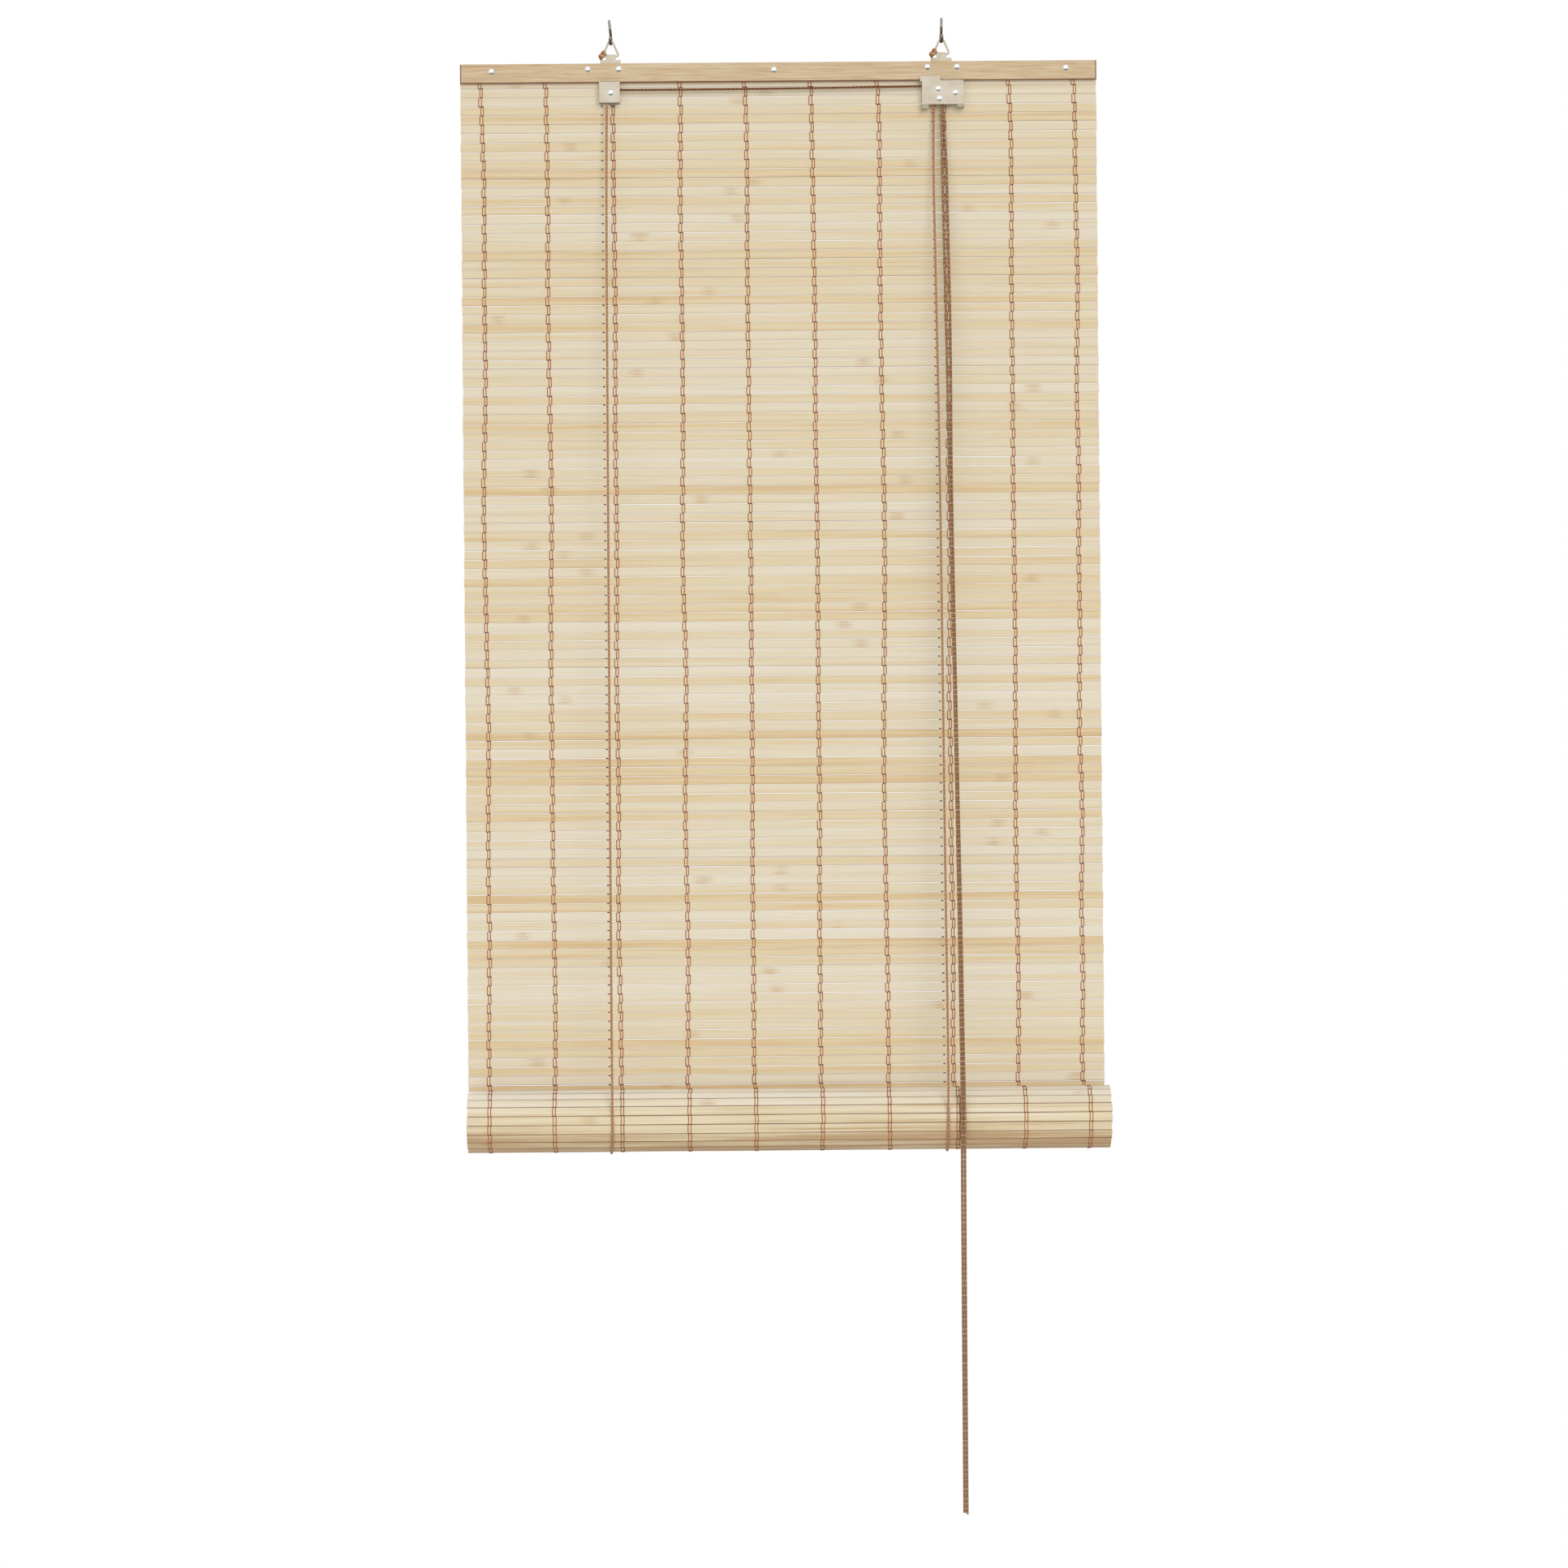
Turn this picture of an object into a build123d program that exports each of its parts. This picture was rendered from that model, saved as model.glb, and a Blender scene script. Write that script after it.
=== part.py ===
import math
import os

from build123d import *

os.makedirs("parts", exist_ok=True)

# Roll up blind of split bamboo slats. +Z is up and the viewer looks along +Y.
# The origin lies midway between the two ceiling screws, in the plane of the ceiling.

# Mat of slats, sewn with pairs of thread
blind_width = 800.0
slat_pitch = 11.4
slat_gap = 0.8
slat_thickness = 1.7
slat_bevel = 0.35
flat_slats = 116
rolled_slats = 41
mat_shift = 2.5
web_thickness = 0.6
web_width = 6.0
thread_columns = 10
column_pitch = 82.9
thread_spacing = 4.6
thread_width = 0.8
thread_thickness = 0.5
seam_clearance = 0.05

# Roll
roll_radius = 38.5
turn_pitch = 3.4
roll_drift = 2.9
batten_height = 12.0
batten_thickness = 5.0
batten_clearance = 0.1

# Head rail: a slat in front of the mat and one behind it, riveted together
rail_height = 23.8
rail_thickness = 5.0
rail_round = 1.2
mat_below_rail_top = 0.4
ceiling_to_rail = 40.0
rivet_shank_radius = 1.5
rivet_head_radius = 3.85
rivet_head_height = 2.2
rivet_tail_radius = 3.0
rivet_tail_height = 0.9
rivet_clearance = 0.05
hanger_rivet_drop = 7.0
field_rivet_drop = 9.2
hanger_rivet_places = (-236.95, -198.15, 190.05, 227.15)
field_rivet_places = (-358.05, -2.95, 364.15)

# Screw hooks in the ceiling
hook_span = 416.3
hook_wire_radius = 1.6
screw_length = 15.5
screw_tip = 1.0
screw_tip_radius = 1.0
bowl_radius = 5.2
bowl_drop = 14.6
neck_bend_radius = 3.0
hook_lip_radius = 6.0
hook_lip_angle = 35.0

# Triangular wire rings between the hooks and the rail
ring_wire_radius = 1.3
ring_seat_gap = 0.3
ring_crown_radius = 3.3
ring_corner_radius = 2.0
ring_half_width = 10.3
ring_bar_above_rail = 10.0
ring_joint_gap = 0.6
knot_cord_radius = 1.3
knot_height = 5.8
knot_turns = 2
knot_turn_pitch = 2.5

# Folded sheet brackets, with the tab that wraps the ring's bar
sheet = 0.8
tab_clearance = 0.1
tab_width = 12.2
neck_width = 25.0
neck_above_rail = 5.0
tab_return_gap = 0.4
left_plate_start = -243.0
left_plate_end = -191.0

# Covers over the pulleys
cover_wall = 1.0
cover_depth = 10.0
cover_bend = 0.8
cover_corner = 2.0
cover_seat_gap = 0.05
left_cover_width = 26.3
left_cover_height = 26.5
left_cover_shift = -1.7
left_cover_gap = 0.3
right_cover_left = -27.5
right_cover_skirt_left = -25.3
right_cover_step = -2.4
right_cover_right = 27.4
right_cover_top_lap = 4.4
right_cover_shoulder = 0.8
right_cover_notch_top = 2.4
right_cover_notch_bottom = 8.8
right_cover_bottom = 31.6
right_cover_left_tab = 5.2
right_cover_right_tab = 3.4
right_tab_width = 8.3
cord_slot_height = 4.4

# Pulleys, spacer rivet and toothed cam of the cord lock
cord_radius = 1.4
pulley_cord_radius = 4.8
pulley_flange_radius = 6.0
pulley_groove_radius = 1.5
pulley_width = 8.4
pulley_bore_clearance = 0.05
left_axle_drop = 37.5
lock_pulley_shift = -4.8
lock_pulley_drop = 35.1
lock_spacer_shift = -3.3
lock_spacer_drop = 47.5
lock_cam_shift = 16.9
lock_cam_drop = 40.2
strand_spacing = 3.6
cam_width = 7.6
cam_hub_radius = 4.2
cam_teeth = 7
cam_tooth_depth = 1.2
cam_start_angle = 164.0
cam_end_angle = 210.0
cam_rise = 0.02
cam_to_cord = 0.3

# Cords that the blind holds, from the rings down behind the mat, under the roll and up in front
sling_clearance = 0.8
rear_left_x = -220.0
rear_right_top_x = 196.35
rear_right_low_x = 201.6
front_left_low_x = -214.0
front_right_low_x = 202.3
tie_reach = 1.8
tie_start_y = 3.0
tie_above_rail = 2.4
tie_bend_radius = 3.2
tie_knot_rise = 4.4
tie_knot_bend_radius = 1.9
tie_end_drop = 30.0
run_start_drop = 39.0
lock_cord_end_drop = 57.0
cord_joint_gap = 0.12

# Pull cords: from the lock over the front of the roll, and then straight down to bare ends
pull_cord_radius = 1.5
pull_upper_a_points = [
    (208.15, -8.50, -97.0),
    (206.75, -10.45, -145.0),
    (208.30, -16.60, -240.0),
    (210.40, -25.60, -390.0),
    (212.00, -36.00, -570.0),
    (214.45, -46.40, -750.0),
    (216.25, -57.00, -930.0),
    (217.70, -67.20, -1110.0),
    (218.40, -75.20, -1240.0),
    (219.00, -79.90, -1320.0),
]
pull_upper_b_points = [
    (208.15, -4.90, -97.0),
    (212.45, -7.30, -142.0),
    (213.85, -13.70, -240.0),
    (215.80, -23.00, -390.0),
    (214.65, -33.40, -570.0),
    (216.55, -43.90, -750.0),
    (218.40, -54.50, -930.0),
    (220.65, -66.00, -1110.0),
    (221.45, -74.70, -1240.0),
    (222.35, -79.90, -1320.0),
]
pull_tail_a_points = [
    (219.00, -79.90, -1320.1),
    (218.85, -81.60, -1372.0),
    (218.45, -81.40, -1460.0),
    (218.25, -81.65, -1600.0),
    (218.15, -81.35, -1740.0),
    (218.00, -81.50, -1852.0),
]
pull_tail_b_points = [
    (222.35, -79.90, -1320.1),
    (222.40, -81.60, -1372.0),
    (222.00, -81.65, -1460.0),
    (221.65, -81.40, -1600.0),
    (221.55, -81.70, -1740.0),
    (221.45, -81.50, -1854.0),
]

# Levels and planes that follow from the sizes above
rail_top = -ceiling_to_rail
rail_bottom = rail_top - rail_height
mat_top = rail_top - mat_below_rail_top
roll_axis_z = mat_top - flat_slats * slat_pitch
roll_axis_y = -roll_radius
mat_left = mat_shift - blind_width / 2
roll_left = mat_left + roll_drift
mat_face = slat_thickness / 2
thread_face = mat_face + thread_thickness
ring_bar_z = rail_top + ring_bar_above_rail
fold_inner = ring_wire_radius + tab_clearance
fold_outer = fold_inner + sheet
front_rail_back = -fold_outer - seam_clearance
front_rail_face = front_rail_back - rail_thickness
back_rail_face = max(thread_face + seam_clearance, fold_inner)
back_rail_back = back_rail_face + rail_thickness
cover_back = -fold_outer - cover_seat_gap
cover_front = -fold_outer - cover_depth
cover_inside = cover_front + cover_wall
lock_middle_y = (cover_inside - fold_outer) / 2
strand_front_y = lock_middle_y - strand_spacing / 2
strand_rear_y = lock_middle_y + strand_spacing / 2
hanger_left = -hook_span / 2
hanger_right = hook_span / 2
left_axle = (hanger_left, rail_top - left_axle_drop)
lock_pulley = (hanger_right + lock_pulley_shift, rail_top - lock_pulley_drop)
lock_spacer = (hanger_right + lock_spacer_shift, rail_top - lock_spacer_drop)
lock_cam_axle = (hanger_right + lock_cam_shift, rail_top - lock_cam_drop)
lock_axles = (lock_pulley, lock_spacer, lock_cam_axle)
hole_radius = rivet_shank_radius + rivet_clearance
hanger_rivets = [(x, rail_top - hanger_rivet_drop) for x in hanger_rivet_places]
field_rivets = [(x, rail_top - field_rivet_drop) for x in field_rivet_places]
rail_rivet_centres = hanger_rivets + field_rivets
column_places = [
    mat_shift + (i - (thread_columns - 1) / 2) * column_pitch
    for i in range(thread_columns)
]
thread_places = [x + s * thread_spacing / 2 for x in column_places for s in (-1, 1)]
roll_reach = math.hypot(roll_radius + slat_thickness / 2, slat_pitch / 2)
sling_radius = roll_reach + sling_clearance + cord_radius
sling_rear_y = roll_axis_y + sling_radius
sling_front_y = roll_axis_y - sling_radius


def level(y):
    """Plane parallel to the mat at depth y, drawn in X and Z, extruding towards the viewer."""
    return Plane.XZ.offset(-y)


def tube_route(points, diameter):
    """Radius for each corner of a free cord, as large as its two runs allow."""
    radii = []
    for a, b, c in zip(points, points[1:], points[2:]):
        run_in = Vector(*b) - Vector(*a)
        run_out = Vector(*c) - Vector(*b)
        turn = math.radians(run_in.get_angle(run_out))
        shorter = min(run_in.length, run_out.length)
        radii.append(0.45 * shorter / math.tan(turn / 2))
    print("smallest radius", round(min(radii), 1), "for a cord of", diameter)
    return radii


# Screw hooks: a straight shank, a neck bend, the bowl and a short lip, bent from one wire
for side, hanger_x in (("left", hanger_left), ("right", hanger_right)):
    bowl_centre = -bowl_drop + bowl_radius
    neck_rise = math.sqrt((bowl_radius + neck_bend_radius) ** 2 - neck_bend_radius**2)
    neck_z = bowl_centre + neck_rise
    neck_angle = math.degrees(math.atan2(neck_rise, neck_bend_radius))
    with BuildPart() as hook:
        with BuildLine(Plane.YZ.offset(hanger_x)) as hook_wire:
            shank = Line((0, screw_length - screw_tip), (0, neck_z))
            CenterArc((neck_bend_radius, neck_z), neck_bend_radius, 180, neck_angle)
            CenterArc((0, bowl_centre), bowl_radius, neck_angle, -180 - neck_angle)
            lip_centre = (-bowl_radius - hook_lip_radius, bowl_centre)
            CenterArc(lip_centre, hook_lip_radius, 0, hook_lip_angle)
        with BuildSketch(Plane(origin=shank @ 0, z_dir=shank % 0)):
            Circle(hook_wire_radius)
        sweep()
        with Locations((hanger_x, 0, screw_length - screw_tip)):
            Cone(
                hook_wire_radius,
                screw_tip_radius,
                screw_tip,
                align=(Align.CENTER, Align.CENTER, Align.MIN),
            )
    hook.part.label = f"hook_{side}"
    export_step(hook.part, f"parts/hook_{side}.step")

# Rings: one wire bent into a triangle, its joint hidden in the tab, and the cord knotted on a leg
crown_z = -bowl_drop + hook_wire_radius + ring_seat_gap + ring_wire_radius


def crown_error(height):
    """How far the rounded crown lies above its seat when the sharp triangle is this high."""
    half_angle = math.atan2(ring_half_width, height)
    rounded_off = ring_crown_radius / math.sin(half_angle) - ring_crown_radius
    return ring_bar_z + height - rounded_off - crown_z


low_height, high_height = ring_half_width, 8 * ring_half_width
for _ in range(50):
    triangle_height = (low_height + high_height) / 2
    if crown_error(triangle_height) > 0:
        high_height = triangle_height
    else:
        low_height = triangle_height
leg_angle = math.degrees(math.atan2(ring_half_width, triangle_height))

for side, hanger_x in (("left", hanger_left), ("right", hanger_right)):
    with BuildPart() as ring:
        with BuildLine(Plane.XZ) as ring_wire:
            FilletPolyline(
                (hanger_x + ring_joint_gap / 2, ring_bar_z),
                (hanger_x + ring_half_width, ring_bar_z),
                (hanger_x, ring_bar_z + triangle_height),
                (hanger_x - ring_half_width, ring_bar_z),
                (hanger_x - ring_joint_gap / 2, ring_bar_z),
                radius=[ring_corner_radius, ring_crown_radius, ring_corner_radius],
            )
        with BuildSketch(Plane(origin=ring_wire.line @ 0, z_dir=ring_wire.line % 0)):
            Circle(ring_wire_radius)
        sweep()
    ring.part.label = f"ring_{side}"
    export_step(ring.part, f"parts/ring_{side}.step")

    leg_way = Vector(math.sin(math.radians(leg_angle)), 0, math.cos(math.radians(leg_angle)))
    leg_foot = Vector(hanger_x - ring_half_width, 0, ring_bar_z)
    knot_start = leg_foot + leg_way * (knot_height / leg_way.Z)
    with BuildPart() as knot:
        for turn in range(knot_turns):
            turn_centre = knot_start + leg_way * (turn * knot_turn_pitch)
            with Locations(Plane(origin=turn_centre, z_dir=leg_way)):
                Torus(
                    ring_wire_radius + rivet_clearance + knot_cord_radius,
                    knot_cord_radius,
                )
    knot.part.label = f"knot_{side}"
    export_step(knot.part, f"parts/knot_{side}.step")

# Head rail slats, with the long outer edges rounded and the rivet holes drilled
with BuildPart() as rail_front:
    with BuildSketch(level(front_rail_back)):
        with Locations((mat_shift, (rail_top + rail_bottom) / 2)):
            Rectangle(blind_width, rail_height)
    extrude(amount=rail_thickness)
    outer_edges = rail_front.edges().filter_by(Axis.X).group_by(Axis.Y)[0]
    fillet(outer_edges, rail_round)
    with BuildSketch(level(front_rail_back)):
        with Locations(*rail_rivet_centres):
            Circle(hole_radius)
    extrude(amount=rail_thickness, mode=Mode.SUBTRACT)
rail_front.part.label = "rail_front"
export_step(rail_front.part, "parts/rail_front.step")

with BuildPart() as rail_back:
    with BuildSketch(level(back_rail_back)):
        with Locations((mat_shift, (rail_top + rail_bottom) / 2)):
            Rectangle(blind_width, rail_height)
    extrude(amount=rail_thickness)
    outer_edges = rail_back.edges().filter_by(Axis.X).group_by(Axis.Y)[-1]
    fillet(outer_edges, rail_round)
    with BuildSketch(level(back_rail_back)):
        with Locations(*rail_rivet_centres):
            Circle(hole_radius)
    extrude(amount=rail_thickness, mode=Mode.SUBTRACT)
rail_back.part.label = "rail_back"
export_step(rail_back.part, "parts/rail_back.step")


def domed_rivet(head_face, tail_end):
    """Rivet on the Y axis with a domed head towards the viewer."""
    dome_radius = (rivet_head_radius**2 + rivet_head_height**2) / (2 * rivet_head_height)
    half_way = math.asin(rivet_head_radius / dome_radius) / 2
    dome_top = head_face - rivet_head_height
    dome_middle = (
        dome_radius * math.sin(half_way),
        dome_top + dome_radius * (1 - math.cos(half_way)),
    )
    with BuildPart() as rivet:
        with BuildSketch(Plane.XY):
            with BuildLine():
                Polyline(
                    (0, dome_top),
                    (0, tail_end),
                    (rivet_shank_radius, tail_end),
                    (rivet_shank_radius, head_face),
                    (rivet_head_radius, head_face),
                )
                ThreePointArc((rivet_head_radius, head_face), dome_middle, (0, dome_top))
            make_face()
        revolve(axis=Axis.Y)
    return rivet.part


rail_rivet = domed_rivet(front_rail_face, back_rail_back)
with BuildPart() as rail_rivets:
    with Locations(*[(x, 0, z) for x, z in rail_rivet_centres]):
        add(rail_rivet)
    with BuildSketch(level(back_rail_back + rivet_tail_height)):
        with Locations(*rail_rivet_centres):
            Circle(rivet_tail_radius)
    extrude(amount=rivet_tail_height)
rail_rivets.part.label = "rail_rivets"
export_step(rail_rivets.part, "parts/rail_rivets.step")

# The axles are rivets too, set flush with the back of the bracket
axle = domed_rivet(cover_front, -fold_inner)
with BuildPart() as axle_rivets:
    with Locations(*[(x, 0, z) for x, z in (left_axle, *lock_axles)]):
        add(axle)
axle_rivets.part.label = "axle_rivets"
export_step(axle_rivets.part, "parts/axle_rivets.step")

# Brackets: one sheet each, from the back of the cover up between the rail slats and over the ring
fold_return = rail_top + tab_return_gap
cover_bottoms = {
    "left": rail_bottom - left_cover_gap - left_cover_height,
    "right": rail_bottom - right_cover_bottom,
}
plates = {
    "left": ((left_plate_start, left_plate_end), left_cover_width, left_cover_shift),
    "right": (
        (hanger_right + right_cover_skirt_left, hanger_right + right_cover_right),
        right_cover_right - right_cover_skirt_left,
        (right_cover_right + right_cover_skirt_left) / 2,
    ),
}
axle_places = {"left": [left_axle], "right": list(lock_axles)}
for side, hanger_x in (("left", hanger_left), ("right", hanger_right)):
    (plate_start, plate_end), lower_width, lower_shift = plates[side]
    with BuildPart() as bracket:
        with BuildSketch(Plane.YZ.offset(hanger_x - tab_width / 2)):
            with Locations((0, ring_bar_z)):
                Circle(fold_outer)
                Circle(fold_inner, mode=Mode.SUBTRACT)
                Rectangle(
                    2 * fold_outer,
                    fold_outer,
                    align=(Align.CENTER, Align.MAX),
                    mode=Mode.SUBTRACT,
                )
            with Locations((-fold_inner, ring_bar_z)):
                Rectangle(sheet, ring_bar_z - rail_top, align=(Align.MAX, Align.MAX))
            with Locations((fold_inner, ring_bar_z)):
                Rectangle(sheet, ring_bar_z - fold_return, align=(Align.MIN, Align.MAX))
        extrude(amount=tab_width)
        with BuildSketch(level(-fold_inner)):
            with Locations((hanger_x, rail_top + neck_above_rail)):
                Rectangle(
                    neck_width,
                    neck_above_rail + rail_height / 2,
                    align=(Align.CENTER, Align.MAX),
                )
            with Locations(((plate_start + plate_end) / 2, rail_top)):
                Rectangle(
                    plate_end - plate_start, rail_height, align=(Align.CENTER, Align.MAX)
                )
            with Locations((hanger_x + lower_shift, rail_bottom)):
                Rectangle(
                    lower_width,
                    rail_bottom - cover_bottoms[side],
                    align=(Align.CENTER, Align.MAX),
                )
        extrude(amount=sheet)
        sheet_holes = [
            (x, z)
            for x, z in rail_rivet_centres + axle_places[side]
            if abs(x - hanger_x) < plate_end - plate_start
        ]
        with BuildSketch(level(-fold_inner)):
            with Locations(*sheet_holes):
                Circle(hole_radius)
        extrude(amount=sheet, mode=Mode.SUBTRACT)
    bracket.part.label = f"bracket_{side}"
    export_step(bracket.part, f"parts/bracket_{side}.step")

# Pulley cover: a channel of folded sheet under the rail, with a slot where the cord runs out
left_cover_top = rail_bottom - left_cover_gap
left_cover_x = hanger_left + left_cover_shift
cross_cord_z = left_axle[1] + pulley_cord_radius
with BuildPart() as cover_left:
    with BuildSketch(level(cover_back)) as left_outline:
        with Locations((left_cover_x, left_cover_top)):
            Rectangle(left_cover_width, left_cover_height, align=(Align.CENTER, Align.MAX))
        fillet(left_outline.vertices().group_by(Axis.Y)[0], cover_corner)
    extrude(amount=cover_back - cover_front)
    bends = cover_left.edges().filter_by(Axis.Z).group_by(Axis.Y)[0]
    fillet(bends, cover_bend)
    with BuildSketch(level(cover_back)):
        with Locations((left_cover_x, left_cover_top)):
            Rectangle(
                left_cover_width - 2 * cover_wall,
                left_cover_height,
                align=(Align.CENTER, Align.MAX),
            )
    extrude(amount=cover_back - cover_inside, mode=Mode.SUBTRACT)
    with BuildSketch(Plane.YZ.offset(left_cover_x)):
        with Locations(((cover_back + cover_inside) / 2, cross_cord_z)):
            Rectangle(cover_back - cover_inside, cord_slot_height)
    extrude(amount=left_cover_width / 2, mode=Mode.SUBTRACT)
    with BuildSketch(level(cover_inside)):
        with Locations(left_axle):
            Circle(hole_radius)
    extrude(amount=cover_wall, mode=Mode.SUBTRACT)
cover_left.part.label = "cover_left"
export_step(cover_left.part, "parts/cover_left.step")

# Cord lock cover: it laps the rail on the left, and two feet flank the mouth for the cords
right_bottom = rail_bottom - right_cover_bottom
with BuildPart() as cover_right:
    with BuildSketch(level(cover_back)) as right_outline:
        with BuildLine():
            Polyline(
                (hanger_right + right_cover_left, rail_bottom + right_cover_top_lap),
                (hanger_right + right_cover_step, rail_bottom + right_cover_top_lap),
                (hanger_right + right_cover_step, rail_bottom - right_cover_shoulder),
                (hanger_right + right_cover_right, rail_bottom - right_cover_shoulder),
                (hanger_right + right_cover_right, right_bottom - right_cover_right_tab),
                (
                    hanger_right + right_cover_right - right_tab_width,
                    right_bottom - right_cover_right_tab,
                ),
                (hanger_right + right_cover_right - right_tab_width, right_bottom),
                (hanger_right + right_cover_skirt_left + right_tab_width, right_bottom),
                (
                    hanger_right + right_cover_skirt_left + right_tab_width,
                    right_bottom - right_cover_left_tab,
                ),
                (
                    hanger_right + right_cover_skirt_left,
                    right_bottom - right_cover_left_tab,
                ),
                (hanger_right + right_cover_skirt_left, rail_bottom - right_cover_notch_top),
                (hanger_right + right_cover_left, rail_bottom - right_cover_notch_top),
                close=True,
            )
        make_face()
        shoulder = right_outline.vertices().sort_by(lambda corner: corner.X + corner.Y)[-1]
        fillet(shoulder, cover_corner)
    extrude(amount=cover_back - cover_front)
    bends = cover_right.edges().filter_by(Axis.Z).group_by(Axis.Y)[0]
    fillet(bends.sort_by(Axis.X)[-1], cover_bend)
    with BuildSketch(level(cover_back)):
        with Locations((hanger_right + right_cover_left, rail_bottom - right_cover_notch_bottom)):
            Rectangle(
                -right_cover_left,
                rail_height,
                align=(Align.MIN, Align.MIN),
            )
        with Locations((hanger_right + right_cover_skirt_left + cover_wall, rail_bottom)):
            Rectangle(
                right_cover_right - right_cover_skirt_left - 2 * cover_wall,
                3 * right_cover_bottom,
                align=(Align.MIN, Align.CENTER),
            )
    extrude(amount=cover_back - cover_inside, mode=Mode.SUBTRACT)
    with BuildSketch(level(cover_inside)):
        with Locations(*lock_axles):
            Circle(hole_radius)
    extrude(amount=cover_wall, mode=Mode.SUBTRACT)
cover_right.part.label = "cover_right"
export_step(cover_right.part, "parts/cover_right.step")

# Pulleys: turned with two grooves, the same at both ends of the rail
for side, (axle_x, axle_z) in (("left", left_axle), ("right", lock_pulley)):
    pulley_bore = rivet_shank_radius + pulley_bore_clearance
    with BuildPart() as pulley:
        with BuildSketch(Plane.XY.offset(axle_z)):
            with Locations((axle_x + pulley_bore, lock_middle_y)):
                Rectangle(
                    pulley_flange_radius - pulley_bore,
                    pulley_width,
                    align=(Align.MIN, Align.CENTER),
                )
            for strand_y in (strand_front_y, strand_rear_y):
                with Locations((axle_x + pulley_cord_radius, strand_y)):
                    Circle(pulley_groove_radius, mode=Mode.SUBTRACT)
                    Rectangle(
                        pulley_flange_radius,
                        2 * pulley_groove_radius,
                        align=(Align.MIN, Align.CENTER),
                        mode=Mode.SUBTRACT,
                    )
        revolve(axis=Axis((axle_x, 0, axle_z), (0, 1, 0)))
    pulley.part.label = f"pulley_{side}"
    export_step(pulley.part, f"parts/pulley_{side}.step")

# Toothed cam: its radius grows downwards, so the strands drag it tighter when the blind pulls
strand_x = lock_pulley[0] + pulley_cord_radius
cam_x, cam_z = lock_cam_axle
cam_radius = cam_x - strand_x - cord_radius - cam_to_cord
cam_edge = [(cam_x, cam_z)]
for step in range(2 * cam_teeth + 1):
    angle = cam_start_angle + step * (cam_end_angle - cam_start_angle) / (2 * cam_teeth)
    reach = cam_radius + cam_rise * (angle - 180) - cam_tooth_depth * (step % 2)
    cam_edge.append(
        (
            cam_x + reach * math.cos(math.radians(angle)),
            cam_z + reach * math.sin(math.radians(angle)),
        )
    )
with BuildPart() as lock_cam:
    with BuildSketch(level(lock_middle_y + cam_width / 2)):
        with BuildLine():
            Polyline(*cam_edge, close=True)
        make_face()
        with Locations(lock_cam_axle):
            Circle(cam_hub_radius)
            Circle(rivet_shank_radius + pulley_bore_clearance, mode=Mode.SUBTRACT)
    extrude(amount=cam_width)
lock_cam.part.label = "lock_cam"
export_step(lock_cam.part, "parts/lock_cam.step")

# Mat: bevelled slats across the whole width, held in one piece by webs under two of the seams
slat_half_height = (slat_pitch - slat_gap) / 2
slat_centres = [mat_top - (i + 0.5) * slat_pitch for i in range(flat_slats)]
mat_length = flat_slats * slat_pitch
web_places = (column_places[1], column_places[-2])
with BuildPart() as mat:
    with BuildSketch(Plane.YZ.offset(mat_left)):
        with Locations(*[(0, z) for z in slat_centres]):
            Polygon(
                (-mat_face, -slat_half_height + slat_bevel),
                (-mat_face + slat_bevel, -slat_half_height),
                (mat_face - slat_bevel, -slat_half_height),
                (mat_face, -slat_half_height + slat_bevel),
                (mat_face, slat_half_height - slat_bevel),
                (mat_face - slat_bevel, slat_half_height),
                (-mat_face + slat_bevel, slat_half_height),
                (-mat_face, slat_half_height - slat_bevel),
                align=None,
            )
    extrude(amount=blind_width)
    with BuildSketch(level(web_thickness / 2)):
        with Locations(*[(x, mat_top - mat_length / 2) for x in web_places]):
            Rectangle(web_width, mat_length - slat_pitch)
    extrude(amount=web_thickness)
    with BuildSketch(level(mat_face)):
        with Locations(*rail_rivet_centres):
            Circle(hole_radius)
    extrude(amount=slat_thickness, mode=Mode.SUBTRACT)
mat.part.label = "mat"
export_step(mat.part, "parts/mat.step")

# Seams: a pair of flat threads down each column, on both faces of the mat
for face, thread_back in (("front", -mat_face), ("back", thread_face)):
    with BuildPart() as stitches:
        with BuildSketch(level(thread_back)):
            with Locations(*[(x, mat_top - mat_length / 2) for x in thread_places]):
                Rectangle(thread_width, mat_length)
        extrude(amount=thread_thickness)
    stitches.part.label = f"stitches_{face}"
    export_step(stitches.part, f"parts/stitches_{face}.step")

# Roll: the slats follow a spiral that starts behind the roll and runs down, forward and up.
# Each joint lies one slat pitch from the last, on a radius that shrinks by turn_pitch a turn.
joints = []
angle = 0.0
for _ in range(rolled_slats + 1):
    joint_radius = roll_radius - turn_pitch * angle / (2 * math.pi)
    joints.append(
        Vector(
            roll_axis_y + joint_radius * math.cos(angle),
            roll_axis_z - joint_radius * math.sin(angle),
        )
    )
    angle += 2 * math.asin(slat_pitch / (2 * joint_radius))


def spiral_side(side):
    """Outer (side 1) or inner (side -1) edge of the rolled slats, slat by slat."""
    edge = []
    for start, end in zip(joints, joints[1:]):
        way = (end - start).normalized()
        out = Vector(way.Y, -way.X) * -side
        if edge:
            edge.append(start + out * (web_thickness / 2))
        edge.append(start + way * (slat_gap / 2) + out * mat_face)
        edge.append(end - way * (slat_gap / 2) + out * mat_face)
    return edge


roll_outline = spiral_side(1) + spiral_side(-1)[::-1]
with BuildPart() as slat_roll:
    with BuildSketch(Plane.YZ.offset(roll_left)):
        with BuildLine():
            Polyline(*[(point.X, point.Y) for point in roll_outline], close=True)
        make_face()
    extrude(amount=blind_width)
slat_roll.part.label = "slat_roll"
export_step(slat_roll.part, "parts/slat_roll.step")

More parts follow.
